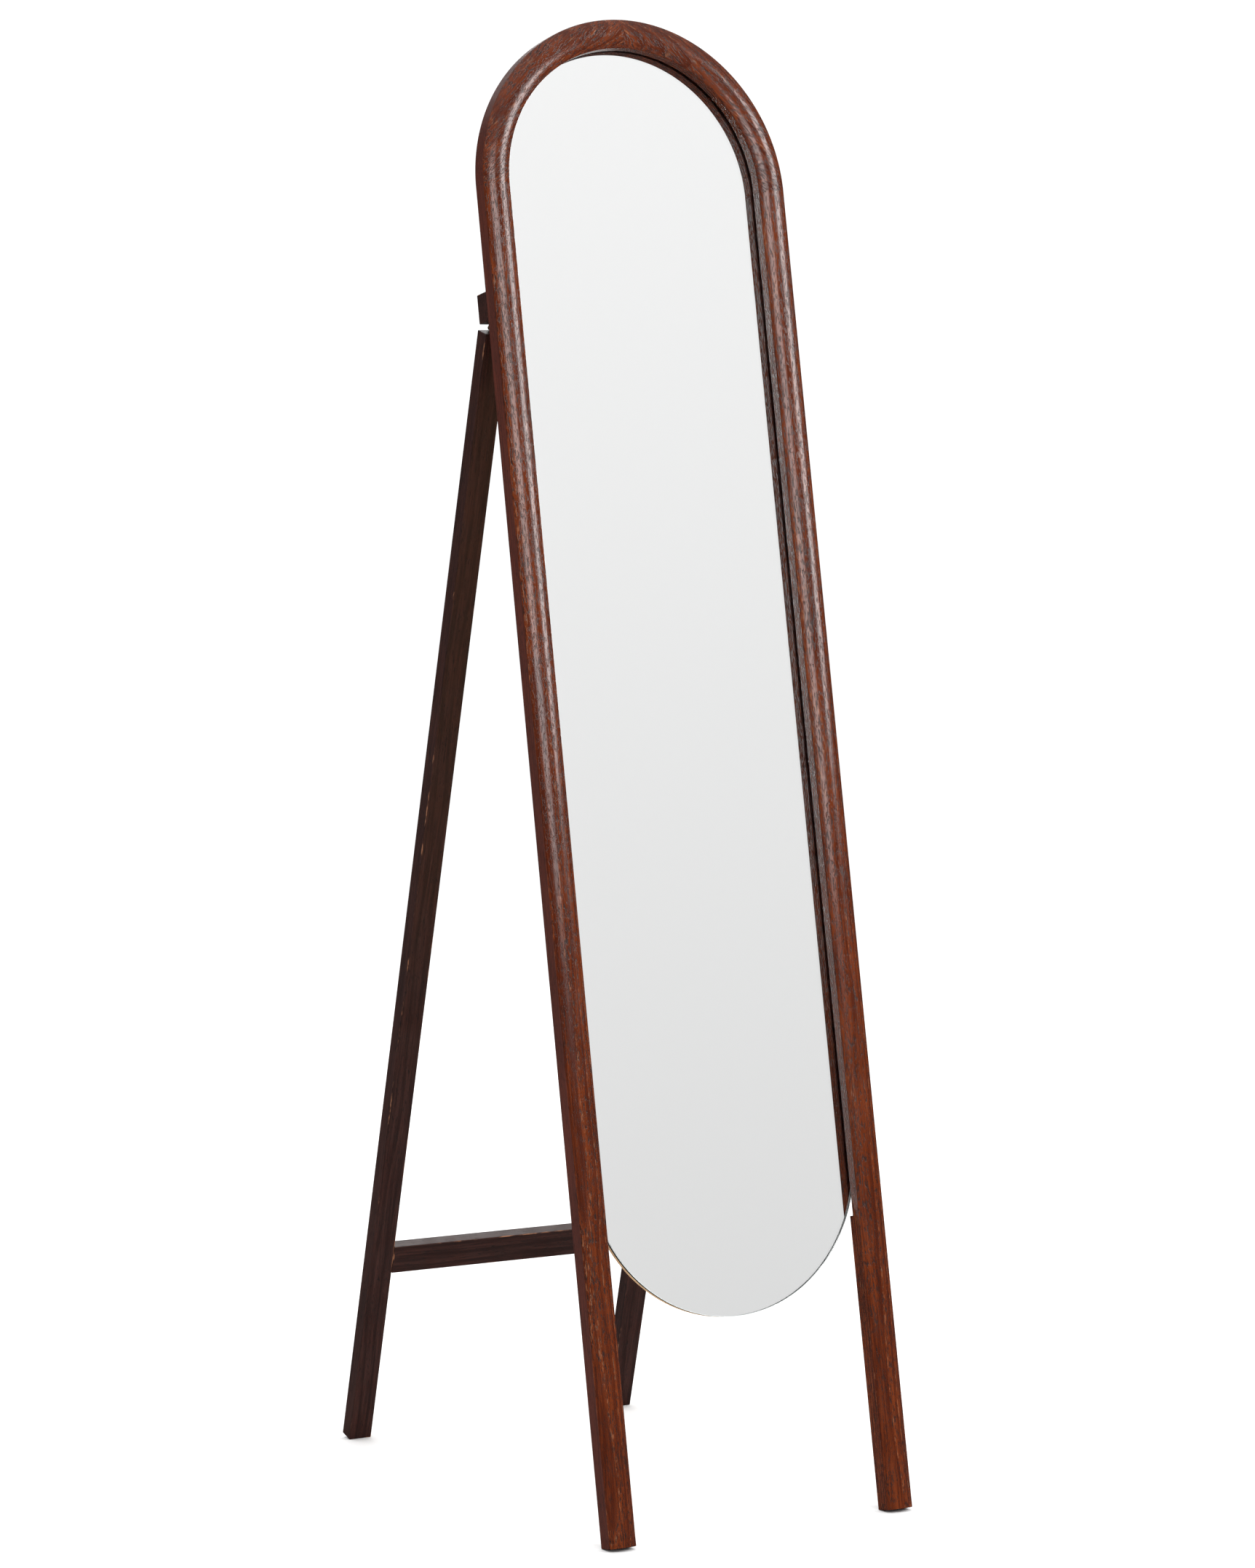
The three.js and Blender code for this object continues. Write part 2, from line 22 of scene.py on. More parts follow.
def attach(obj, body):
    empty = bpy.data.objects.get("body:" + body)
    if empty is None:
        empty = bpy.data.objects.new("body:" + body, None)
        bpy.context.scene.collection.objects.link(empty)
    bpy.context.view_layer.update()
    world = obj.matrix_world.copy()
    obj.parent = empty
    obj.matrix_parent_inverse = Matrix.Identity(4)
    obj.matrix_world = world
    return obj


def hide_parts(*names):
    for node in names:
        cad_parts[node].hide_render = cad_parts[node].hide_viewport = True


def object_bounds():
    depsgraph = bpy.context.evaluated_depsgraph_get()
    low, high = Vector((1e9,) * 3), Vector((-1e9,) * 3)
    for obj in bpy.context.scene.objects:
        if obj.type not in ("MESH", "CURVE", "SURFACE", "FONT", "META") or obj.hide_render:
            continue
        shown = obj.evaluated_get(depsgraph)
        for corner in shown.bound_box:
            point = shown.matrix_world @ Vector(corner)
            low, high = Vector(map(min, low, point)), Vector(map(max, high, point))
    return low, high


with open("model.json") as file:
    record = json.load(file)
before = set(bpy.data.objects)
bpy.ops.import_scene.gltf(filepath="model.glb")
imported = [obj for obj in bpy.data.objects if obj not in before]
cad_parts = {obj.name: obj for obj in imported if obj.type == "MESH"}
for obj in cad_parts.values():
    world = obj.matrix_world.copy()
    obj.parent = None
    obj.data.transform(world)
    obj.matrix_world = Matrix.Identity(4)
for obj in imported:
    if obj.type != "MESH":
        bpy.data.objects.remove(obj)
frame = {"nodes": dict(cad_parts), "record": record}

CAD_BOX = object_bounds()
MM = 0.001
GRAIN = "grain"  # vertex attribute: the piece in its timber's own axes, z along the fibres
ARRIS = "arris"  # face attribute: 1 on softened edges
TIMBER_STEP = Vector((0.211, 0.173, 0.617))  # from one piece's stretch of grain to the next one's
SCREW_TURN = math.radians(47)  # between the recesses of one screw and the next
FLOOR_HALF_WIDTH = 60

log = logging.getLogger("floor_mirror")


class Body(str, Enum):
    """The two rigid bodies that the pieces ride on."""

    MIRROR_FRAME = "mirror_frame"
    REAR_STAND = "rear_stand"


class Slot(str, Enum):
    """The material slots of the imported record."""

    FRAME_WOOD = "frame_wood"
    STAND_WOOD = "stand_wood"
    MIRROR = "mirror"
    BOARD = "board"
    DOWEL_WOOD = "dowel_wood"
    HINGE_METAL = "hinge_metal"
    STEEL = "steel"


class Side(Enum):
    """The left and right halves of the object; the value is the sign of x."""

    RIGHT = 1
    LEFT = -1

    @property
    def label(self) -> str:
        """The ending of this side's node names."""
        return self.name.lower()


class Fibres(Enum):
    """Which way a piece's fibres run on its bench."""

    UP = "up"
    ACROSS = "across"
    ALONG_ARCH = "along_arch"

    def timber_axes(self, side: Side = Side.RIGHT) -> Matrix:
        """The turn from the bench's axes to the timber's, whose z runs along the fibres.

        Args:
            side: The half of the object that the piece is on.

        Returns:
            A 4 x 4 rotation.
        """
        if self is Fibres.ACROSS:
            return Matrix.Rotation(math.pi / 2, 4, "Y")
        if self is Fibres.ALONG_ARCH:
            return Matrix.Rotation(side.value * math.pi / 4, 4, "Y")
        return Matrix.Identity(4)


# ---------------------------------------------------------------- benches


@dataclass(frozen=True)
class Bench:
    """The axes that a sub-assembly is drawn in.

    Attributes:
        origin: The edge of the foot that meets the floor, at x = 0, in the object's frame.
        up: The direction along the rails or legs.
    """

    origin: Vector
    up: Vector

    @classmethod
    def from_foot(cls, mount_name: str) -> "Bench":
        """Reads a bench from one of the record's foot mounts.

        Args:
            mount_name: The mount on the square-cut end of a rail or leg.

        Returns:
            The bench whose z runs up from that foot.
        """
        mount = next(m for m in frame["record"]["mounts"] if m["name"] == mount_name)
        up = -Vector(mount["axis"])
        back = Vector((0, up.z, -up.y))
        foot = Vector(mount["pos_m"])
        foot -= back * (foot.z / back.z)
        return cls(Vector((0, foot.y, 0)), up)

    @property
    def matrix(self) -> Matrix:
        """The move from the bench to the object's frame.

        Returns:
            A 4 x 4 rigid move.
        """
        across = Vector((1, 0, 0))
        back = Vector((0, self.up.z, -self.up.y))
        turn = Matrix((across, back, self.up)).transposed().to_4x4()
        return Matrix.Translation(self.origin) @ turn

    def box(self, node: str) -> tuple[Vector, Vector]:
        """Measures a CAD node on the bench.

        Args:
            node: The node's name.

        Returns:
            Its lowest and highest corners.
        """
        inverse = self.matrix.inverted()
        corners = [inverse @ vertex.co for vertex in frame["nodes"][node].data.vertices]
        low = Vector(min(corner[axis] for corner in corners) for axis in range(3))
        high = Vector(max(corner[axis] for corner in corners) for axis in range(3))
        return low, high


# ---------------------------------------------------------------- mesh work


def new_mesh() -> BMesh:
    """Starts a bmesh with the layers that every piece carries.

    Returns:
        The empty mesh.
    """
    bm = bmesh.new()
    bm.faces.layers.float.new(ARRIS)
    bm.verts.layers.float_vector.new(GRAIN)
    return bm


def outline_face(bm: BMesh, points: Iterable[Sequence[float]]) -> BMFace:
    """A flat face with the given corners."""
    return bm.faces.new([bm.verts.new(point) for point in points])


def drawn_out(bm: BMesh, face: BMFace, offset: Vector) -> BMFace:
    """Extrudes a face.

    Args:
        bm: The mesh that holds the face.
        face: The face to extrude.
        offset: How far its far end goes.

    Returns:
        The face at the far end.
    """
    made = bmesh.ops.extrude_face_region(bm, geom=[face])["geom"]
    far_verts = [item for item in made if isinstance(item, BMVert)]
    bmesh.ops.translate(bm, verts=far_verts, vec=offset)
    return next(item for item in made if isinstance(item, BMFace))


def block(low: Vector, high: Vector) -> BMesh:
    """Makes a box.

    Args:
        low: Its lowest corner.
        high: Its highest corner.

    Returns:
        The box as a mesh.
    """
    bm = new_mesh()
    bmesh.ops.create_cube(bm, size=1)
    bmesh.ops.scale(bm, vec=high - low, verts=bm.verts)
    bmesh.ops.translate(bm, vec=(low + high) / 2, verts=bm.verts)
    return bm


def convex_edges(bm: BMesh, least: float = math.radians(30)) -> list[BMEdge]:
    """The edges that stand out by at least an angle."""
    bmesh.ops.recalc_face_normals(bm, faces=bm.faces)
    return [e for e in bm.edges if e.is_manifold and e.calc_face_angle_signed() > least]


def soften(bm: BMesh, edges: Iterable[BMEdge], radius: float, steps: int = 3) -> None:
    """Rounds edges over and marks the faces that this makes.

    Args:
        bm: The mesh that holds the edges.
        edges: The edges to round.
        radius: How far the rounding reaches from each edge.
        steps: How many flats it has.
    """
    made = bmesh.ops.bevel(
        bm, geom=list(edges), offset=radius, offset_type="OFFSET", segments=steps,
        profile=0.5, affect="EDGES", clamp_overlap=True, material=-1,
    )
    arris = bm.faces.layers.float[ARRIS]
    for face in made["faces"]:
        face[arris] = 1.0


def moved(bm: BMesh, matrix: Matrix) -> BMesh:
    """Moves a whole mesh and hands it back."""
    bmesh.ops.transform(bm, matrix=matrix, verts=bm.verts)
    return bm


def carved(bm: BMesh, tool: BMesh, operation: str = "DIFFERENCE") -> BMesh:
    """Cuts or joins one closed mesh with another.

    Args:
        bm: The mesh to work on; it is used up.
        tool: The other mesh; it is used up.
        operation: The Boolean modifier's operation.

    Returns:
        The result as a new mesh.
    """
    stock, cutter = (bpy.data.objects.new(n, bpy.data.meshes.new(n)) for n in ("stock", "cutter"))
    for obj, source in ((stock, bm), (cutter, tool)):
        bmesh.ops.recalc_face_normals(source, faces=source.faces)
        source.to_mesh(obj.data)
        source.free()
        bpy.context.scene.collection.objects.link(obj)
    boolean = stock.modifiers.new("cut", "BOOLEAN")
    boolean.operation = operation
    boolean.solver = "EXACT"
    boolean.object = cutter
    result = bmesh.new()
    result.from_mesh(stock.evaluated_get(bpy.context.evaluated_depsgraph_get()).to_mesh())
    for obj in (stock, cutter):
        mesh = obj.data
        bpy.data.objects.remove(obj)
        bpy.data.meshes.remove(mesh)
    for layers, name in ((result.faces.layers.float, ARRIS), (result.verts.layers.float_vector, GRAIN)):
        if name not in layers:
            layers.new(name)
    return result


@dataclass
class Workshop:
    """Turns meshes drawn on a bench into finished pieces that ride on a body.

    Attributes:
        bench: The axes that the meshes are drawn in.
        body: The body that the pieces ride on.
        timbers: How many pieces have been cut, so that no two show the same stretch of grain.
        smooth_angle: The sharpest turn between faces that is still shaded as one surface.
    """

    bench: Bench
    body: Body
    timbers: int = 0
    smooth_angle: float = math.radians(38)

    def fit(
        self,
        bm: BMesh,
        node: str,
        slot: Slot,
        finishes: Sequence[bpy.types.Material],
        fibres: Matrix = Matrix.Identity(4),
    ) -> bpy.types.Object:
        """Makes the piece that stands for a CAD node.

        Args:
            bm: The piece on the bench; it is used up.
            node: The CAD node that the piece replaces.
            slot: The record's slot for its finish; not used.
            finishes: The materials that its faces' indices name.
            fibres: The turn from the bench to the timber's axes.

        Returns:
            The finished object.
        """
        self.timbers += 1
        shift = TIMBER_STEP * self.timbers
        grain = bm.verts.layers.float_vector[GRAIN]
        for vertex in bm.verts:
            vertex[grain] = fibres @ vertex.co + shift
        bmesh.ops.recalc_face_normals(bm, faces=bm.faces)
        moved(bm, self.bench.matrix)
        for face in bm.faces:
            face.smooth = True
        mesh = bpy.data.meshes.new(node + "_finished")
        bm.to_mesh(mesh)
        bm.free()
        mesh.set_sharp_from_angle(angle=self.smooth_angle)
        for finish in finishes:
            mesh.materials.append(finish)
        piece = bpy.data.objects.new(node + "_finished", mesh)
        bpy.context.scene.collection.objects.link(piece)
        piece.modifiers.new("even_shading", "WEIGHTED_NORMAL").keep_sharp = True
        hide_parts(node)
        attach(piece, self.body.value)
        log.info("%s rides on %s: %d faces", piece.name, self.body.value, len(mesh.polygons))
        return piece


# ---------------------------------------------------------------- shader graphs


class Graph:
    """Adds nodes to a shader tree and joins them."""

    def __init__(self, tree: bpy.types.NodeTree) -> None:
        """Starts on a tree.

        Args:
            tree: The material's, world's or group's node tree.
        """
        self.tree = tree

    def node(self, kind: str, inputs: dict[Any, Any] | None = None, **settings: Any) -> bpy.types.Node:
        """Adds a node.

        Args:
            kind: The node's type name.
            inputs: Its sockets' values by name or number; a socket as a value is linked.
            settings: The node's own properties.

        Returns:
            The new node.
        """
        made = self.tree.nodes.new(kind)
        for name, value in settings.items():
            setattr(made, name, value)
        for key, value in (inputs or {}).items():
            if isinstance(value, bpy.types.NodeSocket):
                self.tree.links.new(value, made.inputs[key])
            else:
                made.inputs[key].default_value = value
        return made

    def math(self, operation: str, *values: Any) -> bpy.types.NodeSocket:
        """The result of a Math node."""
        inputs = dict(enumerate(values))
        return self.node("ShaderNodeMath", inputs, operation=operation).outputs[0]

    def stretched(self, vector: Any, scale: Sequence[float], shift: Any = (0, 0, 0)) -> Any:
        """A vector times a scale for each axis, plus a shift."""
        inputs = {0: vector, 1: tuple(scale), 2: shift}
        return self.node("ShaderNodeVectorMath", inputs, operation="MULTIPLY_ADD").outputs[0]

    def noise(self, vector: Any, detail: float = 2.0, rough: float = 0.5) -> bpy.types.NodeSocket:
        """A noise with one feature to each unit of the vector."""
        inputs = {"Vector": vector, "Scale": 1.0, "Detail": detail, "Roughness": rough}
        return self.node("ShaderNodeTexNoise", inputs).outputs[0]

    def ramp(self, value: Any, start: float, end: float, low: float = 0.0, high: float = 1.0) -> Any:
        """A smooth step of a value from one level to another."""
        inputs = {0: value, 1: start, 2: end, 3: low, 4: high}
        return self.node("ShaderNodeMapRange", inputs, interpolation_type="SMOOTHSTEP").outputs[0]

    def blend(self, factor: Any, first: Any, second: Any) -> bpy.types.NodeSocket:
        """A mix of two colours."""
        inputs = {0: factor, 6: first, 7: second}
        return self.node("ShaderNodeMix", inputs, data_type="RGBA").outputs[2]

    def timber(self, in_place: bool = False) -> bpy.types.NodeSocket:
        """Adds the coordinates that patterns follow.

        Args:
            in_place: Whether to read the object's own, for a mesh that carries no timber coordinates.

        Returns:
            The coordinates, in metres.
        """
        if in_place:
            return self.node("ShaderNodeTexCoord").outputs["Object"]
        return self.node("ShaderNodeAttribute", attribute_name=GRAIN).outputs["Vector"]

    def arris(self) -> bpy.types.NodeSocket:
        """1 on softened edges and 0 elsewhere."""
        return self.node("ShaderNodeAttribute", attribute_name=ARRIS).outputs["Fac"]

    def place(self, group: bpy.types.NodeTree, inputs: dict[str, Any]) -> bpy.types.Node:
        """Adds a copy of a shader node group."""
        return self.node("ShaderNodeGroup", inputs, node_tree=group)


def new_group(name: str, inputs: dict[str, float | None], outputs: Iterable[str]) -> tuple:
    """Starts a shader node group.

    Args:
        name: The group's name.
        inputs: Its inputs' names with their starting values, None for a vector.
        outputs: The names of its outputs, which are all values.

    Returns:
        The group, its graph, its input node and its output node.
    """
    group = bpy.data.node_groups.new(name, "ShaderNodeTree")
    for socket, value in inputs.items():
        kind = "NodeSocketVector" if value is None else "NodeSocketFloat"
        made = group.interface.new_socket(name=socket, in_out="INPUT", socket_type=kind)
        if value is not None:
            made.default_value = value
    for socket in outputs:
        group.interface.new_socket(name=socket, in_out="OUTPUT", socket_type="NodeSocketFloat")
    graph = Graph(group)
    return group, graph, graph.node("NodeGroupInput").outputs, graph.node("NodeGroupOutput").inputs


class Effects:
    """The shared surface effects, each a node group that is built once."""

    def __init__(self) -> None:
        """Builds the groups."""
        self.figure = self._open_grain()
        self.wear = self._edge_wear()
        self.marks = self._surface_marks()

    @staticmethod
    def _open_grain() -> bpy.types.NodeTree:
        """Growth rings that wander along the timber, streaks, open pores and pale flecks.

        Returns:
            The group. Its vector is in metres with z along the fibres; lengths inside are in mm.
        """
        group, g, given, out = new_group(
            "open_grain",
            {"Vector": None, "Ring Spacing": 5.0, "Wander": 9.0, "Pore Share": 0.4},
            ("Figure", "Pores", "Flecks", "Height"),
        )
        mm = g.stretched(given["Vector"], (1 / MM,) * 3)
        drift = g.node(
            "ShaderNodeTexNoise",
            {"Vector": g.stretched(mm, (0.016, 0.016, 0.0042)), "Scale": 1.0, "Detail": 1.0},
        ).outputs[1]
        wander = g.node("ShaderNodeCombineXYZ", dict(enumerate([given["Wander"]] * 3))).outputs[0]
        bent = g.node(
            "ShaderNodeVectorMath", {0: drift, 1: wander, 2: mm}, operation="MULTIPLY_ADD"
        ).outputs[0]
        axes = g.node("ShaderNodeSeparateXYZ", {0: bent}).outputs
        depth = g.math("MULTIPLY_ADD", axes[0], 0.38, axes[1])
        rings = g.math("FRACT", g.math("DIVIDE", depth, given["Ring Spacing"]))
        late = g.math("MULTIPLY", g.ramp(rings, 0.45, 0.92), g.ramp(rings, 0.93, 1.0, 1.0, 0.0))
        early = g.math("MULTIPLY", g.ramp(rings, 0.0, 0.05), g.ramp(rings, 0.10, 0.30, 1.0, 0.0))
        streaks = g.noise(g.stretched(bent, (0.55, 0.55, 0.014)), 4.0, 0.6)
        cloud = g.noise(g.stretched(mm, (0.045, 0.045, 0.009)), 2.0)
        mixed = g.math("MULTIPLY_ADD", g.ramp(streaks, 0.25, 0.75), 0.5, g.math("MULTIPLY", cloud, 0.5))
        g.tree.links.new(g.math("MULTIPLY_ADD", late, -0.22, mixed), out["Figure"])
        fine = g.noise(g.stretched(bent, (0.78, 0.78, 0.13)), 2.0, 0.55)
        level = g.math("MULTIPLY_ADD", given["Pore Share"], -0.16, g.math("MULTIPLY_ADD", cloud, 0.1, 0.61))
        shown = g.ramp(g.math("SUBTRACT", fine, level), 0.0, 0.09)
        pores = g.math("MULTIPLY", shown, g.math("MULTIPLY_ADD", late, -0.6, 1.0))
        g.tree.links.new(pores, out["Pores"])
        dashes = g.ramp(g.noise(g.stretched(bent, (0.6, 0.6, 0.09), (31.0, 7.0, 3.0)), 3.0, 0.7), 0.54, 0.62)
        g.tree.links.new(g.math("MULTIPLY", dashes, early), out["Flecks"])
        relief = g.math("MULTIPLY_ADD", streaks, 0.4, g.math("MULTIPLY", cloud, 3.0))
        g.tree.links.new(g.math("MULTIPLY_ADD", pores, -1.1, relief), out["Height"])
        return group

    @staticmethod
    def _edge_wear() -> bpy.types.NodeTree:
        """Rubbed stretches along softened edges.

        Returns:
            The group.
        """
        group, g, given, out = new_group(
            "edge_wear", {"Vector": None, "Arris": 0.0, "Amount": 0.5}, ("Mask",)
        )
        rubbed = g.noise(g.stretched(given["Vector"], (60.0, 60.0, 24.0)), 4.0, 0.65)
        level = g.math("MULTIPLY_ADD", given["Amount"], -0.4, 0.75)
        shown = g.ramp(g.math("SUBTRACT", rubbed, level), 0.0, 0.12)
        g.tree.links.new(g.math("MULTIPLY", shown, given["Arris"]), out["Mask"])
        return group

    @staticmethod
    def _surface_marks() -> bpy.types.NodeTree:
        """Broad smudges and fine specks, for lacquer, metal and board.

        Returns:
            The group.
        """
        group, g, given, out = new_group(
            "surface_marks", {"Vector": None, "Size": 20.0}, ("Smudge", "Specks")
        )
        mm = g.stretched(given["Vector"], (1 / MM,) * 3)
        per_mark = g.math("DIVIDE", 1.0, given["Size"])
        scaled = g.node("ShaderNodeVectorMath", {0: mm, 3: per_mark}, operation="SCALE").outputs[0]
        g.tree.links.new(g.noise(scaled, 4.0, 0.55), out["Smudge"])
        specks = g.noise(g.stretched(mm, (1.7,) * 3), 1.0)
        g.tree.links.new(g.ramp(specks, 0.62, 0.70), out["Specks"])
        return group


def new_material(name: str) -> tuple[bpy.types.Material, Graph, bpy.types.Node]:
    """Starts a material with an empty Principled shader.

    Args:
        name: The material's name.

    Returns:
        The material, its graph and its shader.
    """
    material = bpy.data.materials.new(name)
    material.use_nodes = True
    material.node_tree.nodes.clear()
    graph = Graph(material.node_tree)
    shader = graph.node("ShaderNodeBsdfPrincipled")
    output = graph.node("ShaderNodeOutputMaterial")
    material.node_tree.links.new(shader.outputs[0], output.inputs["Surface"])
    return material, graph, shader


Colour = tuple[float, float, float, float]


def stain(red: float, green: float, blue: float) -> Colour:
    """A linear colour."""
    return (red, green, blue, 1.0)


@dataclass(frozen=True)
class StainedWood:
    """Open-pored timber under a coloured stain and lacquer.

    Attributes:
        name: The material's name.
        deep: The stain where the figure is dark.
        bright: The stain where the figure is light.
        pore: The colour in the pores.
        fleck: The pale flecks in the early wood.
        bare: The wood that shows on rubbed edges.
        gloss: The roughness of the lacquer between the pores.
        relief: How strongly the pores dent the lacquer.
        ring_spacing: From one growth ring to the next, in mm.
        pores: How much of the surface the pores take.
        flecks: How strongly the flecks show.
        wear: How much of the edges is rubbed.
        shine: The shader's specular level.
        in_place: Whether it is for CAD meshes, which carry no timber coordinates.
    """

    name: str
    deep: Colour
    bright: Colour
    pore: Colour
    fleck: Colour
    bare: Colour
    gloss: float
    relief: float = 0.5
    ring_spacing: float = 5.0
    pores: float = 0.4
    flecks: float = 0.6
    wear: float = 0.3
    shine: float = 0.5
    in_place: bool = False

    def build(self, effects: Effects) -> bpy.types.Material:
        """Makes the material.

        Args:
            effects: The shared node groups.

        Returns:
            The material.
        """
        material, g, shader = new_material(self.name)
        timber = g.timber(self.in_place)
        figure = g.place(
            effects.figure,
            {"Vector": timber, "Ring Spacing": self.ring_spacing, "Pore Share": self.pores},
        ).outputs
        wear = g.place(effects.wear, {"Vector": timber, "Arris": g.arris(), "Amount": self.wear})
        marks = g.place(effects.marks, {"Vector": timber, "Size": 28.0}).outputs
        body = g.blend(g.ramp(figure["Figure"], 0.15, 0.85), self.deep, self.bright)
        pored = g.blend(g.math("MULTIPLY", figure["Pores"], 0.75), body, self.pore)
        flecked = g.blend(g.math("MULTIPLY", figure["Flecks"], self.flecks), pored, self.fleck)
        worn = g.blend(g.math("MULTIPLY", wear.outputs[0], 0.8), flecked, self.bare)
        smudged = g.ramp(marks["Smudge"], 0.3, 0.7, self.gloss * 0.88, self.gloss * 1.18)
        rough = g.math("MULTIPLY_ADD", figure["Pores"], 0.16, smudged)
        bump = g.node(
            "ShaderNodeBump",
            {"Strength": self.relief, "Distance": 0.1 * MM, "Height": figure["Height"]},
        )
        g.tree.links.new(worn, shader.inputs["Base Color"])
        g.tree.links.new(rough, shader.inputs["Roughness"])
        g.tree.links.new(bump.outputs[0], shader.inputs["Normal"])
        shader.inputs["Specular IOR Level"].default_value = self.shine
        return material


@dataclass(frozen=True)
class Fibreboard:
    """Raw fibreboard: pressed fibres with darker specks, furry where it is sawn.

    Attributes:
        name: The material's name.
        face: The colour of the pressed fibres.
        tuft: The pale fibres that stand out.
        speck: The dark specks.
        furry: How rough the surface is, from 0 on a pressed face to 1 on a sawn edge.
    """

    name: str
    face: Colour
    tuft: Colour
    speck: Colour
    furry: float

    def build(self, effects: Effects) -> bpy.types.Material:
        """Makes the material.

        Args:
            effects: The shared node groups.

        Returns:
            The material.
        """
        material, g, shader = new_material(self.name)
        timber = g.timber()
        marks = g.place(effects.marks, {"Vector": timber, "Size": 9.0}).outputs
        fibres = g.noise(g.stretched(timber, (900.0, 700.0, 520.0)), 4.0, 0.7)
        body = g.blend(g.ramp(fibres, 0.34, 0.66), self.face, self.tuft)
        specked = g.blend(g.math("MULTIPLY", marks["Specks"], 0.7), body, self.speck)
        shaded = g.blend(g.ramp(marks["Smudge"], 0.35, 0.75, 0.0, 0.35), specked, self.speck)
        bump = g.node(
            "ShaderNodeBump",
            {"Strength": 0.25 + 0.5 * self.furry, "Distance": 0.3 * MM, "Height": fibres},
        )
        g.tree.links.new(shaded, shader.inputs["Base Color"])
        g.tree.links.new(g.ramp(fibres, 0.3, 0.7, 0.92, 0.72), shader.inputs["Roughness"])
        g.tree.links.new(bump.outputs[0], shader.inputs["Normal"])
        shader.inputs["Specular IOR Level"].default_value = 0.25
        return material


@dataclass(frozen=True)
class Plating:
    """Plated or aged metal with a brushed, slightly blotched surface.

    Attributes:
        name: The material's name.
        bright: The clean metal.
        dull: The tarnished metal.
        rough: The mean roughness.
        in_place: Whether it is for CAD meshes, which carry no timber coordinates.
    """

    name: str
    bright: Colour
    dull: Colour
    rough: float
    in_place: bool = False

    def build(self, effects: Effects) -> bpy.types.Material:
        """Makes the material.

        Args:
            effects: The shared node groups.

        Returns:
            The material.
        """
        material, g, shader = new_material(self.name)
        timber = g.timber(self.in_place)
        marks = g.place(effects.marks, {"Vector": timber, "Size": 3.5}).outputs
        brushed = g.noise(g.stretched(timber, (260.0, 3800.0, 3800.0)), 3.0, 0.6)
        tarnish = g.ramp(marks["Smudge"], 0.35, 0.68)
        bump = g.node("ShaderNodeBump", {"Strength": 0.25, "Distance": 0.04 * MM, "Height": brushed})
        g.tree.links.new(g.blend(tarnish, self.bright, self.dull), shader.inputs["Base Color"])
        spread = g.ramp(marks["Smudge"], 0.3, 0.7, self.rough * 0.75, self.rough * 1.35)
        g.tree.links.new(spread, shader.inputs["Roughness"])
        g.tree.links.new(bump.outputs[0], shader.inputs["Normal"])
        shader.inputs["Metallic"].default_value = 1.0
        return material


@dataclass(frozen=True)
class MirrorGlass:
    """The materials of a silvered pane: clear front, silvering, dark edge and ground arris."""

    silver: Colour = stain(0.93, 0.93, 0.93)
    edge: Colour = stain(0.006, 0.010, 0.009)
    ground: Colour = stain(0.62, 0.66, 0.65)

    def clear(self) -> bpy.types.Material:
        """The polished front of the pane.

        Returns:
            The material.
        """
        material, _, shader = new_material("clear_glass")
        shader.inputs["Base Color"].default_value = stain(0.990, 0.995, 0.993)
        shader.inputs["Roughness"].default_value = 0.0
        shader.inputs["IOR"].default_value = 1.5
        shader.inputs["Transmission Weight"].default_value = 1.0
        return material

    def silvering(self) -> bpy.types.Material:
        """The silver layer, seen through the pane.

        Returns:
            The material.
        """
        material, _, shader = new_material("silvering")
        shader.inputs["Base Color"].default_value = self.silver
        shader.inputs["Metallic"].default_value = 1.0
        shader.inputs["Roughness"].default_value = 0.0
        return material

    def dark_edge(self, effects: Effects) -> bpy.types.Material:
        """The sealed, cut edge of the pane.

        Args:
            effects: The shared node groups.

        Returns:
            The material.
        """
        material, g, shader = new_material("glass_edge")
        marks = g.place(effects.marks, {"Vector": g.timber(), "Size": 12.0}).outputs
        pale = stain(0.03, 0.045, 0.04)
        tint = g.blend(g.ramp(marks["Smudge"], 0.4, 0.8, 0.0, 0.6), self.edge, pale)
        g.tree.links.new(tint, shader.inputs["Base Color"])
        rough = g.ramp(marks["Smudge"], 0.3, 0.7, 0.12, 0.24)
        g.tree.links.new(rough, shader.inputs["Roughness"])
        return material

    def arris(self, effects: Effects) -> bpy.types.Material:
        """The fine ground bevel round the front.

        Args:
            effects: The shared node groups.

        Returns:
            The material.
        """
        material, g, shader = new_material("ground_arris")
        marks = g.place(effects.marks, {"Vector": g.timber(), "Size": 2.0}).outputs
        tint = g.blend(g.ramp(marks["Smudge"], 0.35, 0.7), self.ground, stain(0.85, 0.88, 0.87))
        g.tree.links.new(tint, shader.inputs["Base Color"])
        rough = g.ramp(marks["Smudge"], 0.3, 0.7, 0.25, 0.45)
        g.tree.links.new(rough, shader.inputs["Roughness"])
        return material


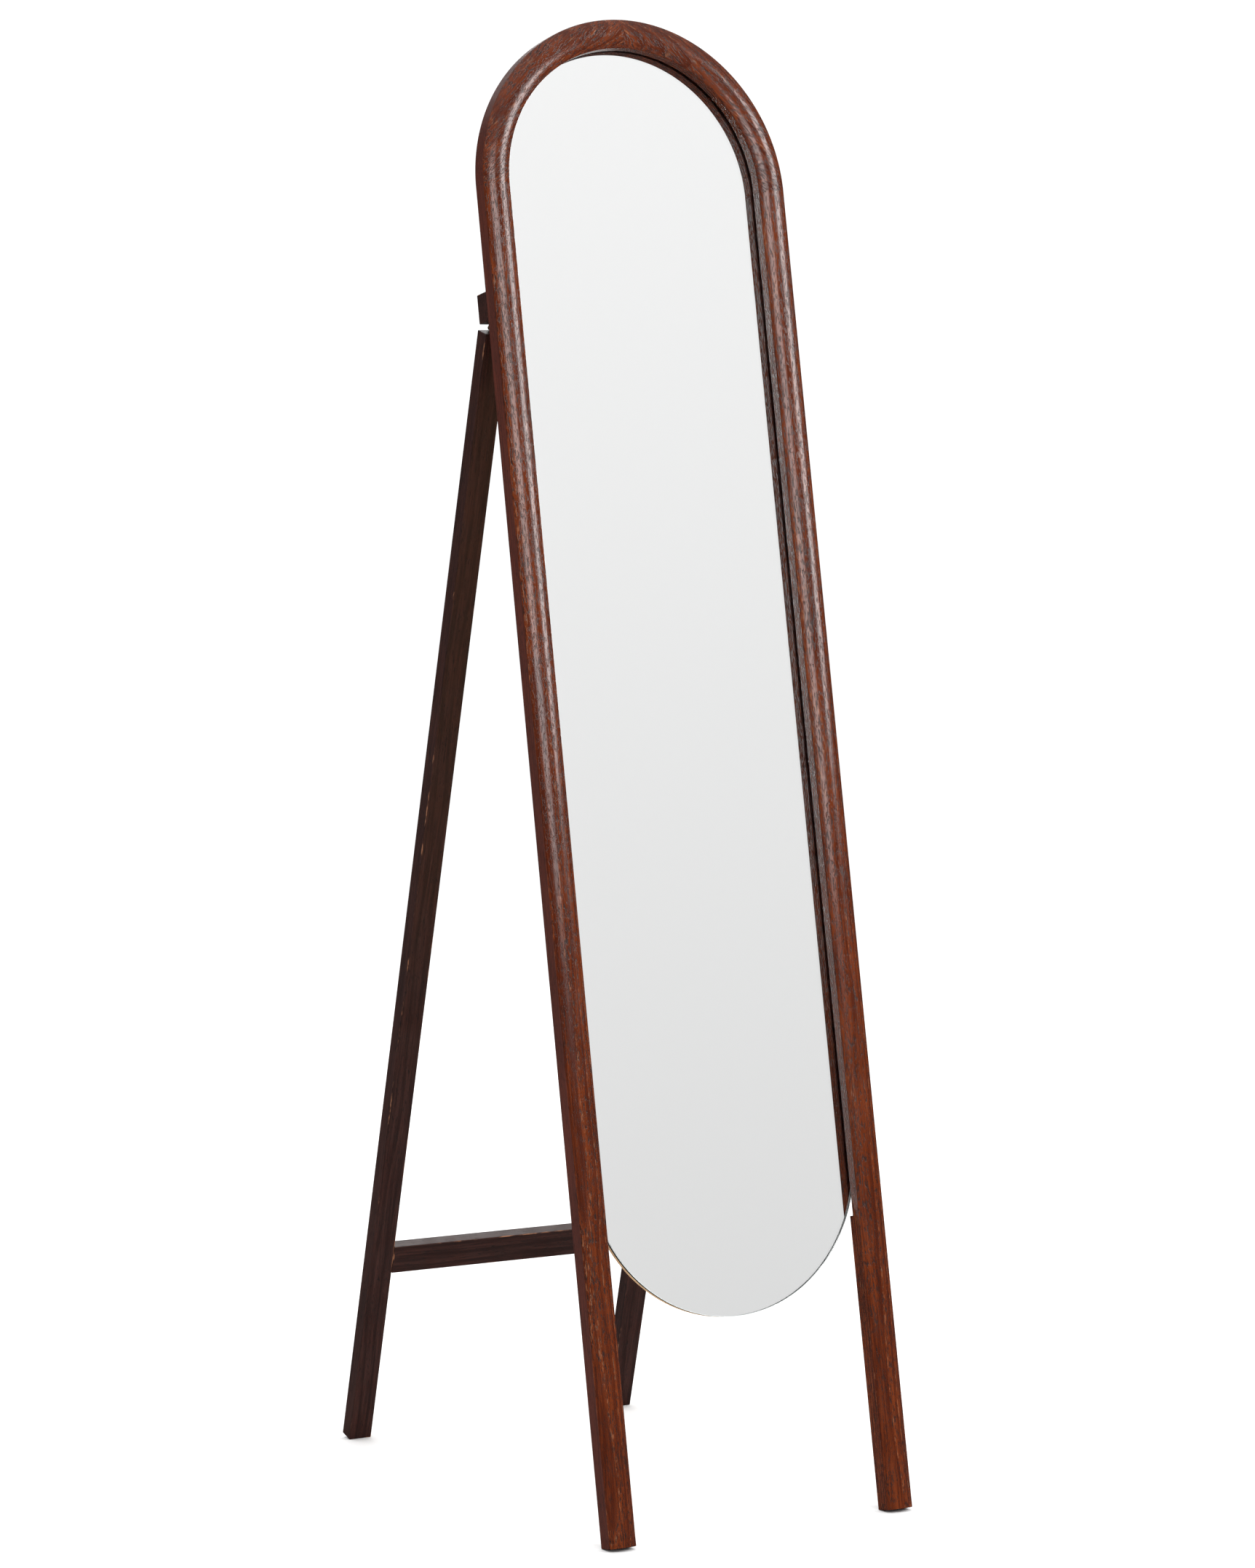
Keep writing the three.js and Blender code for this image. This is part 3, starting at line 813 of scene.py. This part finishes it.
FRAME_CROWN = StainedWood(
    name="lacquered_crown", deep=stain(0.058, 0.0092, 0.0023), bright=stain(0.148, 0.0285, 0.0062),
    pore=stain(0.007, 0.0015, 0.0008), fleck=stain(0.36, 0.15, 0.07), bare=stain(0.30, 0.12, 0.06),
    gloss=0.15, relief=1.0, pores=0.9, flecks=0.4, wear=0.2, shine=0.6,
)
# Painted shade and sheen: the crown's lacquer copied darker and greyer for the outer sides and back; only
# its rougher gloss is the planed face's own.
FRAME_SIDE_PAINTED_SHADE_AND_SHEEN = StainedWood(
    name="planed_side", deep=stain(0.058, 0.0115, 0.0066), bright=stain(0.105, 0.0220, 0.0120),
    pore=stain(0.020, 0.0050, 0.0032), fleck=stain(0.20, 0.09, 0.06), bare=stain(0.34, 0.14, 0.07),
    gloss=0.36, relief=0.8, pores=0.45, flecks=0.1, wear=0.3, shine=0.4,
)
STAND_STAIN = StainedWood(
    name="espresso_stand", deep=stain(0.021, 0.0060, 0.0042), bright=stain(0.050, 0.0150, 0.0105),
    pore=stain(0.008, 0.0030, 0.0025), fleck=stain(0.12, 0.06, 0.045), bare=stain(0.36, 0.15, 0.07),
    gloss=0.38, relief=0.7, pores=0.4, flecks=0.1, wear=0.5, shine=0.4,
)
RAW_BEECH = StainedWood(
    name="raw_beech", deep=stain(0.50, 0.33, 0.19), bright=stain(0.68, 0.49, 0.31),
    pore=stain(0.36, 0.22, 0.12), fleck=stain(0.72, 0.54, 0.36), bare=stain(0.70, 0.52, 0.34),
    gloss=0.74, relief=0.35, ring_spacing=2.5, pores=0.2, flecks=0.3, wear=0.1, shine=0.3,
    in_place=True,
)
BOARD_FACE = Fibreboard(
    "board_face", stain(0.36, 0.235, 0.135), stain(0.44, 0.30, 0.18), stain(0.20, 0.12, 0.06), 0.0
)
BOARD_EDGE = Fibreboard(
    "board_edge", stain(0.44, 0.26, 0.13), stain(0.76, 0.53, 0.31), stain(0.16, 0.065, 0.025), 1.0
)
AGED_BRASS = Plating(
    "aged_brass", stain(0.62, 0.46, 0.24), stain(0.24, 0.16, 0.085), 0.36, in_place=True
)
ZINC = Plating("zinc_plate", stain(0.66, 0.67, 0.69), stain(0.42, 0.43, 0.45), 0.32)


@dataclass
class Finishes:
    """Every material of the object, built once."""

    effects: Effects = field(default_factory=Effects)

    def __post_init__(self) -> None:
        """Builds the materials."""
        self.crown = FRAME_CROWN.build(self.effects)
        # The sides' copy of the stain, with painted shade and sheen.
        self.side = FRAME_SIDE_PAINTED_SHADE_AND_SHEEN.build(self.effects)
        self.stand = STAND_STAIN.build(self.effects)
        self.beech = RAW_BEECH.build(self.effects)
        self.board_face = BOARD_FACE.build(self.effects)
        self.board_edge = BOARD_EDGE.build(self.effects)
        self.brass = AGED_BRASS.build(self.effects)
        self.zinc = ZINC.build(self.effects)
        glass = MirrorGlass()
        self.clear = glass.clear()
        self.silver = glass.silvering()
        self.glass_edge = glass.dark_edge(self.effects)
        self.glass_arris = glass.arris(self.effects)


# ---------------------------------------------------------------- arched frame


@dataclass
class ArchedFrame:
    """The two rails and the two segments of the arch.

    Attributes:
        shop: Where the pieces are drawn and fitted.
        finishes: The materials.
        side_depth: From the back to the arris of the rounded face.
        crown_rise: How far the rounded face stands in front of the arris.
        rebate_width: Of the rebate that holds the glass and its board.
        rebate_depth: From the back.
        rebate_foot: Where the rebate starts, above the foot.
        arris_radius: Of the softened edges.
        seam: Half the gap between two pieces that are glued end to end.
        crown_steps: Flats across the rounded face.
        arch_steps: Flats along a quarter of the arch.
    """

    shop: Workshop
    finishes: Finishes
    side_depth: float = 20.3 * MM
    crown_rise: float = 4.7 * MM
    rebate_width: float = 10.3 * MM
    rebate_depth: float = 6.3 * MM
    rebate_foot: float = 340 * MM
    arris_radius: float = 0.8 * MM
    seam: float = 0.03 * MM
    crown_steps: int = 28
    arch_steps: int = 64

    def __post_init__(self) -> None:
        """Reads the rails' width, place and length from the frame."""
        low, high = self.shop.bench.box("rail_right")
        arch_foot = self.shop.bench.box("arch_segment_right")[0].z
        self.inside, self.outside = low.x, high.x
        self.rebate_edge = self.inside + self.rebate_width
        self.spring = (high.z + arch_foot) / 2

    def _section(self, bm: BMesh, rebated: bool) -> BMFace:
        """Draws the right-hand section at z = 0.

        Args:
            bm: The mesh to draw in.
            rebated: Whether the rebate is cut away.

        Returns:
            The section's face.
        """
        half = (self.outside - self.inside) / 2
        radius = (half**2 + self.crown_rise**2) / (2 * self.crown_rise)
        centre = (self.inside + half, radius - self.side_depth - self.crown_rise, 0)
        start = bm.verts.new((self.outside, -self.side_depth, 0))
        bmesh.ops.spin(
            bm, geom=[start], cent=centre, axis=(0, 0, 1), angle=-2 * math.asin(half / radius),
            steps=self.crown_steps, use_merge=False, use_duplicate=False,
        )
        crown = sorted(bm.verts, key=lambda vertex: -vertex.co.x)
        corners = [(self.inside, -self.rebate_depth), (self.rebate_edge, 0), (self.outside, 0)]
        corners.insert(1, (self.rebate_edge, -self.rebate_depth) if rebated else (self.inside, 0))
        return bm.faces.new(crown + [bm.verts.new((x, y, 0)) for x, y in corners])

    def _reach(self, point: Vector) -> float:
        """How far a point of a right-hand piece is from the opening's middle line or centre."""
        return point.x if point.z < self.spring else math.hypot(point.x, point.z - self.spring)

    def _dress(self, bm: BMesh) -> None:
        """Gives the rounded face the glossy finish, and the opening's sides too as painted light; the rest
        gets the planed one, whose darker, greyer colour is painted shade and sheen.

        Args:
            bm: The right-hand piece on the bench.
        """
        for face in bm.faces:
            in_front = all(v.co.y < -self.side_depth + self.arris_radius for v in face.verts)
            inside = all(self._reach(v.co) < self.inside + 0.2 * MM for v in face.verts)
            # The opening's sides take the crown's brighter finish as painted light.
            face.material_index = 0 if in_front or inside else 1

    def _rail(self) -> BMesh:
        """Draws the right-hand rail: a full foot, and above it the rebated length.

        Returns:
            The rail.
        """
        bm = new_mesh()
        foot = self._section(bm, rebated=False)
        ledge = drawn_out(bm, foot, Vector((0, 0, self.rebate_foot)))
        corner = {(round(v.co.x, 5), round(v.co.y, 5)): v for v in ledge.verts}
        first = corner[round(self.inside, 5), round(-self.rebate_depth, 5)]
        second = corner[round(self.rebate_edge, 5), 0.0]
        inner = (self.rebate_edge, -self.rebate_depth, self.rebate_foot)
        bmesh.utils.face_split(ledge, first, second, coords=[inner])
        pair = [face for face in first.link_faces if abs(face.normal.z) > 0.9]
        wide = max(pair, key=lambda face: face.calc_area())
        top = drawn_out(bm, wide, Vector((0, 0, self.spring - self.seam - self.rebate_foot)))
        bmesh.ops.delete(bm, geom=[wide], context="FACES_ONLY")
        joint = set(top.edges)
        soften(bm, [e for e in convex_edges(bm) if e not in joint], self.arris_radius)
        return bm

    def _arch_segment(self) -> BMesh:
        """Draws the right-hand quarter of the arch.

        Returns:
            The segment.
        """
        bm = new_mesh()
        self._section(bm, rebated=True)
        everything = bm.verts[:] + bm.edges[:] + bm.faces[:]
        bmesh.ops.spin(
            bm, geom=everything, cent=(0, 0, 0), axis=(0, -1, 0), angle=math.pi / 2,
            steps=self.arch_steps, use_merge=False, use_duplicate=False,
        )
        tiny = 1e-6
        at_joint = [
            {e for e in bm.edges if all(abs(v.co[axis]) < tiny for v in e.verts)} for axis in (0, 2)
        ]
        joints = set().union(*at_joint)
        soften(bm, [e for e in convex_edges(bm) if e not in joints], self.arris_radius)
        return moved(bm, Matrix.Translation((self.seam, 0, self.spring + self.seam)))

    def build(self) -> None:
        """Makes the four pieces."""
        # The crown's finish, and the sides' darker, greyer copy that paints in shade and sheen.
        woods = (self.finishes.crown, self.finishes.side)
        for side in Side:
            for node, fibres, bm in (
                ("rail_", Fibres.UP, self._rail()),
                ("arch_segment_", Fibres.ALONG_ARCH, self._arch_segment()),
            ):
                bmesh.ops.recalc_face_normals(bm, faces=bm.faces)
                self._dress(bm)
                moved(bm, Matrix.Diagonal((side.value, 1, 1, 1)))
                self.shop.fit(bm, node + side.label, Slot.FRAME_WOOD, woods, fibres.timber_axes(side))


# ---------------------------------------------------------------- glass and board


class Pane(Enum):
    """The material indices of the mirror pane."""

    CLEAR = 0
    SILVER = 1
    EDGE = 2
    ARRIS = 3


@dataclass
class MirrorPanel:
    """The silvered glass, its fibreboard backing and the clips that hold them.

    Attributes:
        shop: Where the pieces are drawn and fitted.
        finishes: The materials.
        glass_arris: The width of the ground bevel round the glass.
        board_arris: Of the board's softened edges.
        end_steps: Flats round each end of the panel.
        clip_thickness: Of the clips' strip.
        clip_corner: The radius of the clips' corners.
        clip_step: Where a clip steps down, as a share of its length from the tongue's end.
        clip_bend: The radius of its bends.
        clip_arris: Of its softened edges.
        clip_count: Clips on each rail.
    """

    shop: Workshop
    finishes: Finishes
    glass_arris: float = 0.7 * MM
    board_arris: float = 0.25 * MM
    end_steps: int = 72
    clip_thickness: float = 1.2 * MM
    clip_corner: float = 2.5 * MM
    clip_step: float = 0.44
    clip_bend: float = 0.9 * MM
    clip_arris: float = 0.15 * MM
    clip_count: int = 3

    def _slab(self, node: str) -> BMesh:
        """Draws a flat panel with round ends.

        Args:
            node: The CAD node whose place it takes.

        Returns:
            The panel.
        """
        low, high = self.shop.bench.box(node)
        radius = high.x
        bm = new_mesh()
        ring: list[BMVert] = []
        for start, centre in (((radius, low.y), high.z - radius), ((-radius, low.y), low.z + radius)):
            first = bm.verts.new((*start, centre))
            before = set(bm.verts)
            bmesh.ops.spin(
                bm, geom=[first], cent=(0, low.y, centre), axis=(0, -1, 0), angle=math.pi,
                steps=self.end_steps, use_merge=False, use_duplicate=False,
            )
            ring += [first, *(v for v in bm.verts if v not in before)]
        outline = bm.faces.new(ring)
        drawn_out(bm, outline, Vector((0, high.y - low.y, 0)))
        bmesh.ops.recalc_face_normals(bm, faces=bm.faces)
        return bm

    def _glass(self) -> None:
        """Makes the pane, its faces dressed by the way they look."""
        bm = self._slab("mirror_glass")
        front = [e for e in convex_edges(bm) if any(f.normal.y < -0.9 for f in e.link_faces)]
        soften(bm, front, self.glass_arris, 1)
        arris = bm.faces.layers.float[ARRIS]
        for face in bm.faces:
            if face[arris]:
                index = Pane.ARRIS
            elif face.normal.y < -0.9:
                index = Pane.CLEAR
            else:
                index = Pane.SILVER if face.normal.y > 0.9 else Pane.EDGE
            face.material_index = index.value
        f = self.finishes
        self.shop.fit(bm, "mirror_glass", Slot.MIRROR, (f.clear, f.silver, f.glass_edge, f.glass_arris))

    def _board(self) -> None:
        """Makes the backing board, with pressed faces and a sawn edge."""
        bm = self._slab("backing_board")
        soften(bm, convex_edges(bm), self.board_arris, 2)
        for face in bm.faces:
            face.material_index = 0 if abs(face.normal.y) > 0.9 else 1
        self.shop.fit(
            bm, "backing_board", Slot.BOARD, (self.finishes.board_face, self.finishes.board_edge)
        )

    def _clip(self, low: Vector, high: Vector) -> BMesh:
        """A bent strip with a tongue on the board and a foot on the rail.

        Args:
            low: The lowest corner of the right-hand clip's box.
            high: Its highest corner.

        Returns:
            The clip, ready to be mirrored.
        """
        step = low.x + (high.x - low.x) * self.clip_step
        half = self.clip_thickness / 2
        path = [(low.x, high.y - half), (step, high.y - half), (step, low.y + half), (high.x, low.y + half)]
        bm = new_mesh()
        verts = [bm.verts.new((x, y, low.z)) for x, y in path]
        edges = [bm.edges.new(pair) for pair in zip(verts, verts[1:])]
        bmesh.ops.bevel(
            bm, geom=verts[1:3], offset=self.clip_bend, offset_type="OFFSET", segments=4,
            profile=0.5, affect="VERTICES", clamp_overlap=True, material=-1,
        )
        strip = bmesh.ops.extrude_edge_only(bm, edges=bm.edges[:])["geom"]
        far = [item for item in strip if isinstance(item, BMVert)]
        bmesh.ops.translate(bm, verts=far, vec=(0, 0, high.z - low.z))
        bmesh.ops.recalc_face_normals(bm, faces=bm.faces)
        ends = [
            v for v in bm.verts
            if min(abs(v.co.x - low.x), abs(v.co.x - high.x)) < 1e-6
        ]
        bmesh.ops.bevel(
            bm, geom=ends, offset=self.clip_corner, offset_type="OFFSET", segments=4,
            profile=0.5, affect="VERTICES", clamp_overlap=True, material=-1,
        )
        bmesh.ops.remove_doubles(bm, verts=bm.verts, dist=0.01 * MM)
        bmesh.ops.solidify(bm, geom=bm.faces[:], thickness=self.clip_thickness)
        middle = (low.y + high.y) / 2
        ys = [v.co.y for v in bm.verts]
        offset = middle - (min(ys) + max(ys)) / 2
        bmesh.ops.translate(bm, verts=bm.verts, vec=(0, offset, 0))
        soften(bm, convex_edges(bm, math.radians(60)), self.clip_arris, 2)
        return bm

    def _clips(self) -> None:
        """Makes the clips on the rails and on the arch."""
        bench = self.shop.bench
        low, high = bench.box("clip_1_right")
        middle = (low.z + high.z) / 2
        spring = bench.box("rail_right")[1].z
        turned = bench.box("arch_clip_right")
        centre = (turned[0] + turned[1]) / 2
        angle = math.atan2(centre.z - spring, centre.x)
        for side in Side:
            mirror = Matrix.Diagonal((side.value, 1, 1, 1))
            for number in range(1, self.clip_count + 1):
                node = f"clip_{number}_{side.label}"
                place = bench.box(node)
                rise = Matrix.Translation((0, 0, (place[0].z + place[1].z) / 2 - middle))
                clip = moved(self._clip(low, high), mirror @ rise)
                self.shop.fit(clip, node, Slot.STEEL, (self.finishes.zinc,))
            onto_arch = Matrix.Translation((0, 0, spring)) @ Matrix.Rotation(-angle, 4, "Y")
            level = Matrix.Translation((0, 0, -middle))
            clip = moved(self._clip(low, high), mirror @ onto_arch @ level)
            self.shop.fit(clip, f"arch_clip_{side.label}", Slot.STEEL, (self.finishes.zinc,))

    def build(self) -> None:
        """Makes the glass, the board and the clips."""
        self._glass()
        self._board()
        self._clips()


# ---------------------------------------------------------------- stand and batten


@dataclass
class RearStand:
    """The legs and the stretcher of the folding stand.

    Attributes:
        shop: Where the pieces are drawn and fitted.
        finishes: The materials.
        arris_radius: Of the softened edges.
    """

    shop: Workshop
    finishes: Finishes
    arris_radius: float = 1.0 * MM

    def _bar(self, node: str, fibres: Fibres) -> None:
        """Makes one bar in its node's place.

        Args:
            node: The CAD node.
            fibres: Which way its fibres run.
        """
        bm = block(*self.shop.bench.box(node))
        soften(bm, convex_edges(bm), self.arris_radius)
        self.shop.fit(bm, node, Slot.STAND_WOOD, (self.finishes.stand,), fibres.timber_axes())

    def build(self) -> None:
        """Makes the three bars."""
        for side in Side:
            self._bar("stand_leg_" + side.label, Fibres.UP)
        self._bar("stand_stretcher", Fibres.ACROSS)


@dataclass
class HingeBatten:
    """The cross batten that the stand hangs from.

    Attributes:
        shop: Where the piece is drawn and fitted.
        finishes: The materials.
        board_space: Between the board's back and the batten's relief.
        arris_radius: Of the softened edges.
        screw_head: The radius of the countersinks in its back.
        screw_depth: Their depth.
    """

    shop: Workshop
    finishes: Finishes
    board_space: float = 0.3 * MM
    arris_radius: float = 1.0 * MM
    screw_head: float = 4.2 * MM
    screw_depth: float = 2.6 * MM

    def build(self) -> None:
        """Makes the bar, its relief and its countersinks."""
        bench = self.shop.bench
        low, high = bench.box("hinge_batten")
        board = bench.box("backing_board")[1]
        floor = board.y + self.board_space
        half = board.x + 2 * self.board_space
        plan = [
            (low.x, low.y), (-half, low.y), (-half, floor), (half, floor),
            (half, low.y), (high.x, low.y), (high.x, high.y), (low.x, high.y),
        ]
        bm = new_mesh()
        face = outline_face(bm, ((x, y, low.z) for x, y in plan))
        drawn_out(bm, face, Vector((0, 0, high.z - low.z)))
        soften(bm, convex_edges(bm), self.arris_radius)
        for side in Side:
            for number in (1, 2):
                screw = bench.box(f"batten_screw_{number}_{side.label}")
                middle = (screw[0] + screw[1]) / 2
                sink = new_mesh()
                bmesh.ops.create_cone(
                    sink, cap_ends=True, segments=48, radius1=self.screw_head * 0.45,
                    radius2=self.screw_head * 1.04, depth=self.screw_depth,
                )
                turn = Matrix.Rotation(-math.pi / 2, 4, "X")
                at = (middle.x, high.y - self.screw_depth / 2 + 0.1 * MM, middle.z)
                bm = carved(bm, moved(sink, Matrix.Translation(at) @ turn))
        self.shop.fit(
            bm, "hinge_batten", Slot.STAND_WOOD, (self.finishes.stand,), Fibres.ACROSS.timber_axes()
        )


# ---------------------------------------------------------------- screws


@dataclass(frozen=True)
class Screw:
    """A wood screw with a cross recess, pointing along -Y with its head's top at the origin.

    Attributes:
        shank: The shank's radius.
        head: The head's radius.
        head_height: The head's height.
        length: From the head's top to the point.
        countersunk: Whether the head is a cone under a flat top, or else a low dome.
        point: The length of the point.
        sides: Flats round the screw.
    """

    shank: float
    head: float
    head_height: float
    length: float
    countersunk: bool
    point: float = 3 * MM
    sides: int = 40

    def _profile(self) -> list[tuple[float, float]]:
        """Draws the outline.

        Returns:
            Radii and heights, from the point to the middle of the head.
        """
        outline = [(0.0, -self.length), (self.shank, self.point - self.length)]
        outline.append((self.shank, -self.head_height))
        if self.countersunk:
            rim = 0.12 * MM
            return outline + [(self.head, -rim), (self.head - rim / 2, 0.0), (0.0, 0.0)]
        waist = 0.35 * self.head_height
        dome = [
            (self.head * math.cos(angle), (self.head_height - waist) * (math.sin(angle) - 1))
            for angle in (math.radians(10 * step) for step in range(9))
        ]
        return outline + [(self.head, -self.head_height), *dome, (0.0, 0.0)]

    def build(self) -> BMesh:
        """Turns the screw and cuts its recess.

        Returns:
            The screw.
        """
        bm = new_mesh()
        verts = [bm.verts.new((radius, height, 0)) for radius, height in self._profile()]
        edges = [bm.edges.new(pair) for pair in zip(verts, verts[1:])]
        bmesh.ops.spin(
            bm, geom=verts + edges, cent=(0, 0, 0), axis=(0, 1, 0), angle=2 * math.pi,
            steps=self.sides, use_merge=True, use_duplicate=False,
        )
        bmesh.ops.remove_doubles(bm, verts=bm.verts, dist=0.001 * MM)
        arm, half = 0.62 * self.head, 0.14 * self.head
        for reach in ((arm, half), (half, arm)):
            low = Vector((-reach[0], -0.75 * self.head_height, -reach[1]))
            slot = block(low, Vector((reach[0], 1 * MM, reach[1])))
            bm = carved(bm, slot)
        return bm


CLIP_SCREW = Screw(1.5 * MM, 3.0 * MM, 1.5 * MM, 14.5 * MM, countersunk=False)
BATTEN_SCREW = Screw(2.0 * MM, 4.0 * MM, 2.4 * MM, 34.0 * MM, countersunk=True)


def drive_screws(shop: Workshop, finish: bpy.types.Material) -> None:
    """Makes the screws that show on the frame's back.

    Args:
        shop: Where they are drawn and fitted.
        finish: Their material.
    """
    for kind, word in ((CLIP_SCREW, "clip_screw"), (BATTEN_SCREW, "batten_screw")):
        pattern = kind.build()
        for number, node in enumerate(name for name in frame["nodes"] if word in name):
            low, high = shop.bench.box(node)
            place = Matrix.Translation(((low.x + high.x) / 2, high.y, (low.z + high.z) / 2))
            turned = Matrix.Rotation(SCREW_TURN * number, 4, "Y")
            shop.fit(moved(pattern.copy(), place @ turned), node, Slot.STEEL, (finish,))
        pattern.free()


# ---------------------------------------------------------------- studio


@dataclass(frozen=True)
class Softbox:
    """A rectangular lamp that looks at the mirror.

    Attributes:
        name: The lamp's name.
        azimuth: From -Y towards +X, in degrees.
        elevation: Above the horizon, in degrees.
        distance: From the point it looks at.
        width: Of its face.
        height: Of its face.
        power: In watts.
    """

    name: str
    azimuth: float
    elevation: float
    distance: float
    width: float
    height: float
    power: float

    def build(self, target: Vector) -> None:
        """Hangs the lamp.

        Args:
            target: The point that it looks at.
        """
        turn, rise = math.radians(self.azimuth), math.radians(self.elevation)
        flat = math.cos(rise)
        away = Vector((math.sin(turn) * flat, -math.cos(turn) * flat, math.sin(rise)))
        lamp = bpy.data.lights.new(self.name, "AREA")
        lamp.shape = "RECTANGLE"
        lamp.size = self.width
        lamp.size_y = self.height
        lamp.energy = self.power
        obj = bpy.data.objects.new(self.name, lamp)
        obj.location = target + away * self.distance
        obj.rotation_euler = away.to_track_quat("Z", "Y").to_euler()
        obj.visible_camera = False
        bpy.context.scene.collection.objects.link(obj)


@dataclass
class Studio:
    """The pale floor, the light and the camera.

    Attributes:
        eye: Where the camera stands.
        azimuth: The way it looks, from +Y towards +X, in degrees.
        dip: How far it looks down, in degrees.
        roll: How far it leans over, in degrees.
        lens: Focal length in mm for the sensor below.
        sensor: The long side of the picture, in mm.
        softboxes: The lamps.
    """

    eye: Vector = field(default_factory=lambda: Vector((-2.564, -4.620, 1.216)))
    azimuth: float = 29.21
    dip: float = 4.19
    roll: float = -0.341
    lens: float = 102.43
    sensor: float = 36.0
    softboxes: tuple[Softbox, ...] = (
        Softbox("left_softbox", 0, 23, 5.0, 1.8, 2.0, 54),
        Softbox("right_softbox", 49, 23, 5.0, 1.6, 2.0, 82),
        Softbox("top_softbox", 180, 72, 3.4, 3.0, 2.0, 28),
        Softbox("back_softbox", 146, 33, 4.0, 1.8, 1.2, 10),
        Softbox("rear_softbox", 164, 15, 5.0, 2.4, 1.8, 36),
    )

    def _camera(self) -> None:
        """Stands the camera."""
        data = bpy.data.cameras.new("camera")
        data.sensor_width = self.sensor
        data.sensor_fit = "AUTO"
        data.lens = self.lens
        data.clip_end = 200
        camera = bpy.data.objects.new("camera", data)
        turn = Matrix.Rotation(-math.radians(self.azimuth), 4, "Z")
        tilt = Matrix.Rotation(math.pi / 2 - math.radians(self.dip), 4, "X")
        lean = Matrix.Rotation(math.radians(self.roll), 4, "Z")
        camera.matrix_world = Matrix.Translation(self.eye) @ turn @ tilt @ lean
        bpy.context.scene.collection.objects.link(camera)
        bpy.context.scene.camera = camera

    def _floor(self) -> None:
        """Lays a pale, slightly mottled floor, painted dark where glossy surfaces reflect it, as painted
        shade in those reflections.
        """
        bm = bmesh.new()
        bmesh.ops.create_grid(bm, x_segments=1, y_segments=1, size=FLOOR_HALF_WIDTH)
        mesh = bpy.data.meshes.new("floor")
        bm.to_mesh(mesh)
        bm.free()
        material, g, shader = new_material("floor_paint")
        where = g.node("ShaderNodeTexCoord").outputs["Object"]
        tone = g.noise(g.stretched(where, (1.3, 1.3, 1.3)), 3.0)
        plain = g.blend(tone, stain(0.86, 0.86, 0.86), stain(0.89, 0.89, 0.89))
        # Painted shade in reflections: glossy rays see the floor near black, so it casts no pale reflection
        # on the wood.
        in_gloss = g.node("ShaderNodeLightPath").outputs["Is Glossy Ray"]
        tone_with_painted_dark_reflection = g.blend(in_gloss, plain, stain(0.07, 0.07, 0.07))
        g.tree.links.new(tone_with_painted_dark_reflection, shader.inputs["Base Color"])
        shader.inputs["Roughness"].default_value = 0.9
        shader.inputs["Specular IOR Level"].default_value = 0.1
        mesh.materials.append(material)
        floor = bpy.data.objects.new("floor", mesh)
        bpy.context.scene.collection.objects.link(floor)

    def _sky(self) -> None:
        """Surrounds the scene with a white cove that is greyer near the horizon."""
        world = bpy.data.worlds.new("cove")
        world.use_nodes = True
        world.node_tree.nodes.clear()
        g = Graph(world.node_tree)
        spread, mixer = "ShaderNodeMapRange", "ShaderNodeMix"
        direction = g.node("ShaderNodeTexCoord").outputs["Generated"]
        height = g.node("ShaderNodeSeparateXYZ", {0: direction}).outputs[2]
        shown = g.node(spread, {0: height, 1: 0.10, 2: 0.42, 3: 0.79, 4: 1.06}).outputs[0]
        sheen = g.node(spread, {0: height, 1: 0.40, 2: 0.80, 3: 0.05, 4: 0.50}).outputs[0]
        path = g.node("ShaderNodeLightPath").outputs
        wide = g.node(spread, {0: height, 1: 0.0, 2: 1.0, 3: 0.5, 4: 1.6}).outputs[0]
        lit = g.node(mixer, {0: path["Is Glossy Ray"], 2: wide, 3: sheen}).outputs[0]
        mirrored = g.node(mixer, {0: path["Is Transmission Ray"], 2: lit, 3: shown}).outputs[0]
        strength = g.node(mixer, {0: path["Is Camera Ray"], 2: mirrored, 3: 1.1}).outputs[0]
        light = g.node("ShaderNodeBackground", {"Color": stain(1, 1, 1), "Strength": strength})
        output = g.node("ShaderNodeOutputWorld")
        g.tree.links.new(light.outputs[0], output.inputs["Surface"])
        bpy.context.scene.world = world

    def build(self) -> None:
        """Sets everything up round the object."""
        bpy.context.scene.view_settings.view_transform = "Standard"
        target = (CAD_BOX[0] + CAD_BOX[1]) / 2
        self._camera()
        self._floor()
        self._sky()
        for softbox in self.softboxes:
            softbox.build(target)


# ---------------------------------------------------------------- assembly


def dress_cad_nodes(finishes: Finishes) -> None:
    """Gives the CAD nodes that stay their materials.

    Args:
        finishes: The materials.
    """
    for name, node in frame["nodes"].items():
        if node.hide_render:
            continue
        metal = finishes.brass if "leaf" in name or "pin" in name else finishes.zinc
        finish = finishes.beech if "dowel" in name else metal
        node.data.materials.clear()
        node.data.materials.append(finish)
        log.info("%s keeps its CAD mesh, in %s", name, finish.name)


def main() -> None:
    """Builds the studio and the object."""
    logging.basicConfig(level=logging.INFO, format="%(name)s: %(message)s")
    Studio().build()
    finishes = Finishes()
    frame_shop = Workshop(Bench.from_foot("rail_foot_right"), Body.MIRROR_FRAME)
    stand_shop = Workshop(Bench.from_foot("leg_foot_right"), Body.REAR_STAND)
    ArchedFrame(frame_shop, finishes).build()
    MirrorPanel(frame_shop, finishes).build()
    HingeBatten(frame_shop, finishes).build()
    drive_screws(frame_shop, finishes.zinc)
    RearStand(stand_shop, finishes).build()
    dress_cad_nodes(finishes)


if __name__ == "__main__":
    main()
